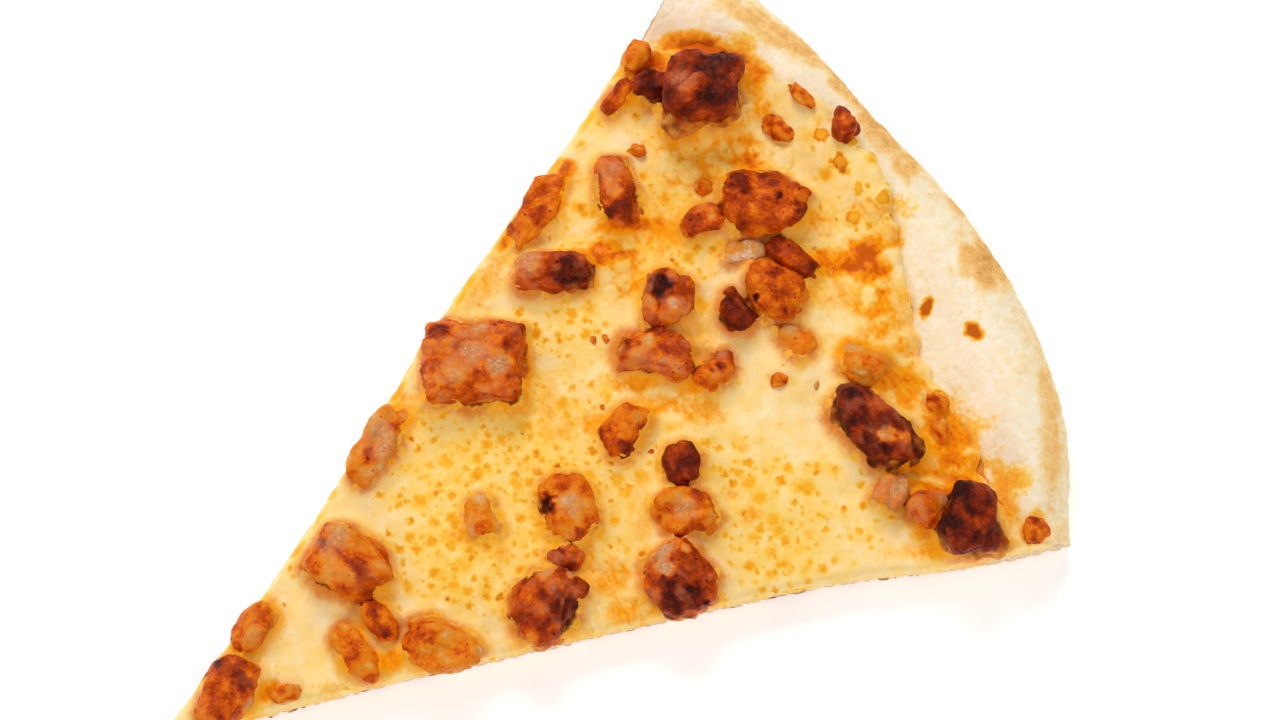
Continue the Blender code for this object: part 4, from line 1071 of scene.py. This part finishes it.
def fine_crumbs(count):
    """Fine crumbs drawn round the pieces of chicken, laid out like the rows of CRUMBS."""
    draw = random.Random(CRUMB_SEED)
    prints = footprints()
    found = []
    for _ in range(count):
        piece = prints[draw.choice(list(prints))]
        turned = draw.uniform(0, 2 * math.pi)
        away = 1 + draw.uniform(0.12, 0.6)
        lengthwise, crosswise = piece.half_length * math.cos(turned) * away, piece.half_width * math.sin(turned) * away
        aside = (piece.x + lengthwise * piece.cos - crosswise * piece.sin) / MM
        along = (piece.y + lengthwise * piece.sin + crosswise * piece.cos) / MM
        size = draw.uniform(0.9, 2.2)
        shape = (size, size * draw.uniform(0.5, 0.9), size * 0.3, draw.uniform(0, 180), draw.uniform(0.15, 0.45))
        if 12 < math.hypot(aside, along) < 150 and abs(math.atan2(aside, along)) < HALF_ANGLE - 0.06:
            found.append((aside, along, *shape))
    return found


def crumb_piece(look, finish):
    """The crumbs of chicken in the cheese: those of the solid, and finer ones round the chicken."""
    crumbs = [(*crumb, 4, 1) for crumb in CRUMBS] + [(*crumb, 2, 0.2) for crumb in fine_crumbs(look.crumb_count)]
    points, faces, browning_and_crease_shade, start = [], [], [], 0
    for number, (aside, along, length, width, height, turn, tone, detail, perch) in enumerate(crumbs):
        unit, ball_faces = ball(detail)
        swell = 1 + 0.5 * lumps(unit, 0.9, number + 3) + 0.18 * lumps(unit, 0.35, number + 5)
        shape = unit * swell[:, None] * (np.array((length, width, height)) / 2 * MM)
        cos, sin = math.cos(math.radians(turn)), math.sin(math.radians(turn))
        x = shape[:, 0] * cos - shape[:, 1] * sin + aside * MM
        y = shape[:, 0] * sin + shape[:, 1] * cos + along * MM
        across = 0.5 - math.atan2(aside, along) / (2 * HALF_ANGLE)
        level = cheese_top(spots_at(np.array([math.hypot(aside, along) * MM]), np.array([across])))[0]
        z = shape[:, 2] + level + height * MM * (0.5 - CRUMB_SINK) * perch
        points.append(np.column_stack((x, y, z)))
        faces.append(ball_faces + start)
        start += len(unit)
        browning_and_crease_shade.append(np.clip(tone + 0.36 * lumps(points[-1], 1.4 * MM, 95), 0, 1))
    fields = {"browning_and_crease_shade": np.concatenate(browning_and_crease_shade), "film": np.full(start, 0.15), "melt": np.zeros(start)}
    return new_piece("chicken_crumbs", np.concatenate(points), np.concatenate(faces).tolist(), fields, finish)


class PIZZA_OT_dough(bpy.types.Operator):
    """Make the baked dough"""

    bl_idname = "pizza.dough"
    bl_label = "Dough"

    def execute(self, context):
        look = context.scene.pizza_dough
        made = dough_piece(look, dough_material(look))
        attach(made, "root")
        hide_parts("crust")
        return {"FINISHED"}


class PIZZA_OT_sauce(bpy.types.Operator):
    """Make the sauce layer"""

    bl_idname = "pizza.sauce"
    bl_label = "Sauce"

    def execute(self, context):
        made = sauce_piece(sauce_material())
        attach(made, "root")
        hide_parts("sauce")
        return {"FINISHED"}


class PIZZA_OT_cheese(bpy.types.Operator):
    """Make the melted cheese, drawn up round the chicken that is there"""

    bl_idname = "pizza.cheese"
    bl_label = "Cheese"

    def execute(self, context):
        look = context.scene.pizza_cheese
        made = cheese_piece(look, cheese_material(look))
        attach(made, "root")
        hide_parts("cheese")
        return {"FINISHED"}


class PIZZA_OT_chicken(bpy.types.Operator):
    """Make the pieces of chicken and their crumbs"""

    bl_idname = "pizza.chicken"
    bl_label = "Chicken"

    def execute(self, context):
        look = context.scene.pizza_chicken
        finish = chicken_material()
        for name, piece in footprints().items():
            made = chicken_look(name, look, finish, piece)
            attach(made, "root")
            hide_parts(name)
        crumbs = crumb_piece(look, finish)
        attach(crumbs, "root")
        return {"FINISHED"}


def set_floor(scene, look):
    """Matt white acrylic, lit a little from below, so that only faint shadows show."""
    half = look.floor_size / 2
    mesh = bpy.data.meshes.new("floor")
    mesh.from_pydata([(-half, -half, 0), (half, -half, 0), (half, half, 0), (-half, half, 0)], [], [(0, 1, 2, 3)])
    white = linear("#FFFFFF")
    values = {"Base Color": white, "Emission Color": white, "Emission Strength": FLOOR_GLOW, "Roughness": 0.9}
    mesh.materials.append(new_material("Lit white acrylic", values)[0])
    floor = bpy.data.objects.new("floor", mesh)
    scene.collection.objects.link(floor)


def set_lights(scene):
    """A dim white room with four soft lamps."""
    world = bpy.data.worlds.new("Studio")
    scene.world = world
    world.use_nodes = True
    world.node_tree.nodes["Background"].inputs["Color"].default_value = linear("#FFFFFF")
    world.node_tree.nodes["Background"].inputs["Strength"].default_value = WORLD_STRENGTH
    for name, (place, side, power) in LIGHTS.items():
        light = bpy.data.lights.new(name, "AREA")
        light.shape = "SQUARE"
        light.size = side
        light.energy = power
        lamp = bpy.data.objects.new(name, light)
        lamp.location = place
        lamp.rotation_euler = Vector(place).to_track_quat("Z", "Y").to_euler()
        scene.collection.objects.link(lamp)


def set_camera(scene, look):
    """The camera at the photograph's angle."""
    cos, sin = math.cos(look.elevation), math.sin(look.elevation)
    back = Vector((math.sin(look.azimuth) * cos, -math.cos(look.azimuth) * cos, sin))
    lens = bpy.data.cameras.new("Camera")
    lens.lens = LENS
    lens.sensor_width = SENSOR
    lens.clip_start = 0.01
    camera = bpy.data.objects.new("Camera", lens)
    camera.location = Vector(LOOKED_AT + (*TIP, 0)) + back * look.distance
    upright = Vector((-math.sin(look.azimuth), math.cos(look.azimuth), 0))
    right = upright.cross(Vector((0, 0, 1))).normalized()
    camera.rotation_euler = Matrix((right, back.cross(right), back)).transposed().to_euler()
    scene.collection.objects.link(camera)
    scene.camera = camera


class PIZZA_OT_stage(bpy.types.Operator):
    """Set the floor, the studio light and the camera"""

    bl_idname = "pizza.stage"
    bl_label = "Stage"

    def execute(self, context):
        scene = context.scene
        set_floor(scene, scene.pizza_stage)
        set_lights(scene)
        set_camera(scene, scene.pizza_stage)
        scene.view_settings.view_transform = "Standard"
        return {"FINISHED"}


class PIZZA_PT_panel(bpy.types.Panel):
    """Settings and steps for the pizza slice"""

    bl_idname = "PIZZA_PT_panel"
    bl_label = "Pizza slice"
    bl_space_type = "VIEW_3D"
    bl_region_type = "UI"
    bl_category = "Pizza slice"

    def draw(self, context):
        for operator, settings in STEPS:
            self.layout.operator(operator.bl_idname)
            if settings:
                group = getattr(context.scene, settings)
                for name in group.__annotations__:
                    self.layout.prop(group, name)


STEPS = [
    (PIZZA_OT_dough, "pizza_dough"),
    (PIZZA_OT_sauce, None),
    (PIZZA_OT_chicken, "pizza_chicken"),
    (PIZZA_OT_cheese, "pizza_cheese"),
    (PIZZA_OT_stage, "pizza_stage"),
]
SETTINGS = {
    "pizza_dough": PizzaDoughLook,
    "pizza_cheese": PizzaCheeseLook,
    "pizza_chicken": PizzaChickenLook,
    "pizza_stage": PizzaStageLook,
}


def register():
    for name, group in SETTINGS.items():
        bpy.utils.register_class(group)
        setattr(bpy.types.Scene, name, bpy.props.PointerProperty(type=group))
    for operator, _ in STEPS:
        bpy.utils.register_class(operator)
    bpy.utils.register_class(PIZZA_PT_panel)


def unregister():
    bpy.utils.unregister_class(PIZZA_PT_panel)
    for operator, _ in STEPS:
        bpy.utils.unregister_class(operator)
    for name, group in SETTINGS.items():
        delattr(bpy.types.Scene, name)
        bpy.utils.unregister_class(group)


def main():
    register()
    for step, _ in STEPS:
        group, name = step.bl_idname.split(".")
        getattr(getattr(bpy.ops, group), name)()


if __name__ == "__main__":
    main()
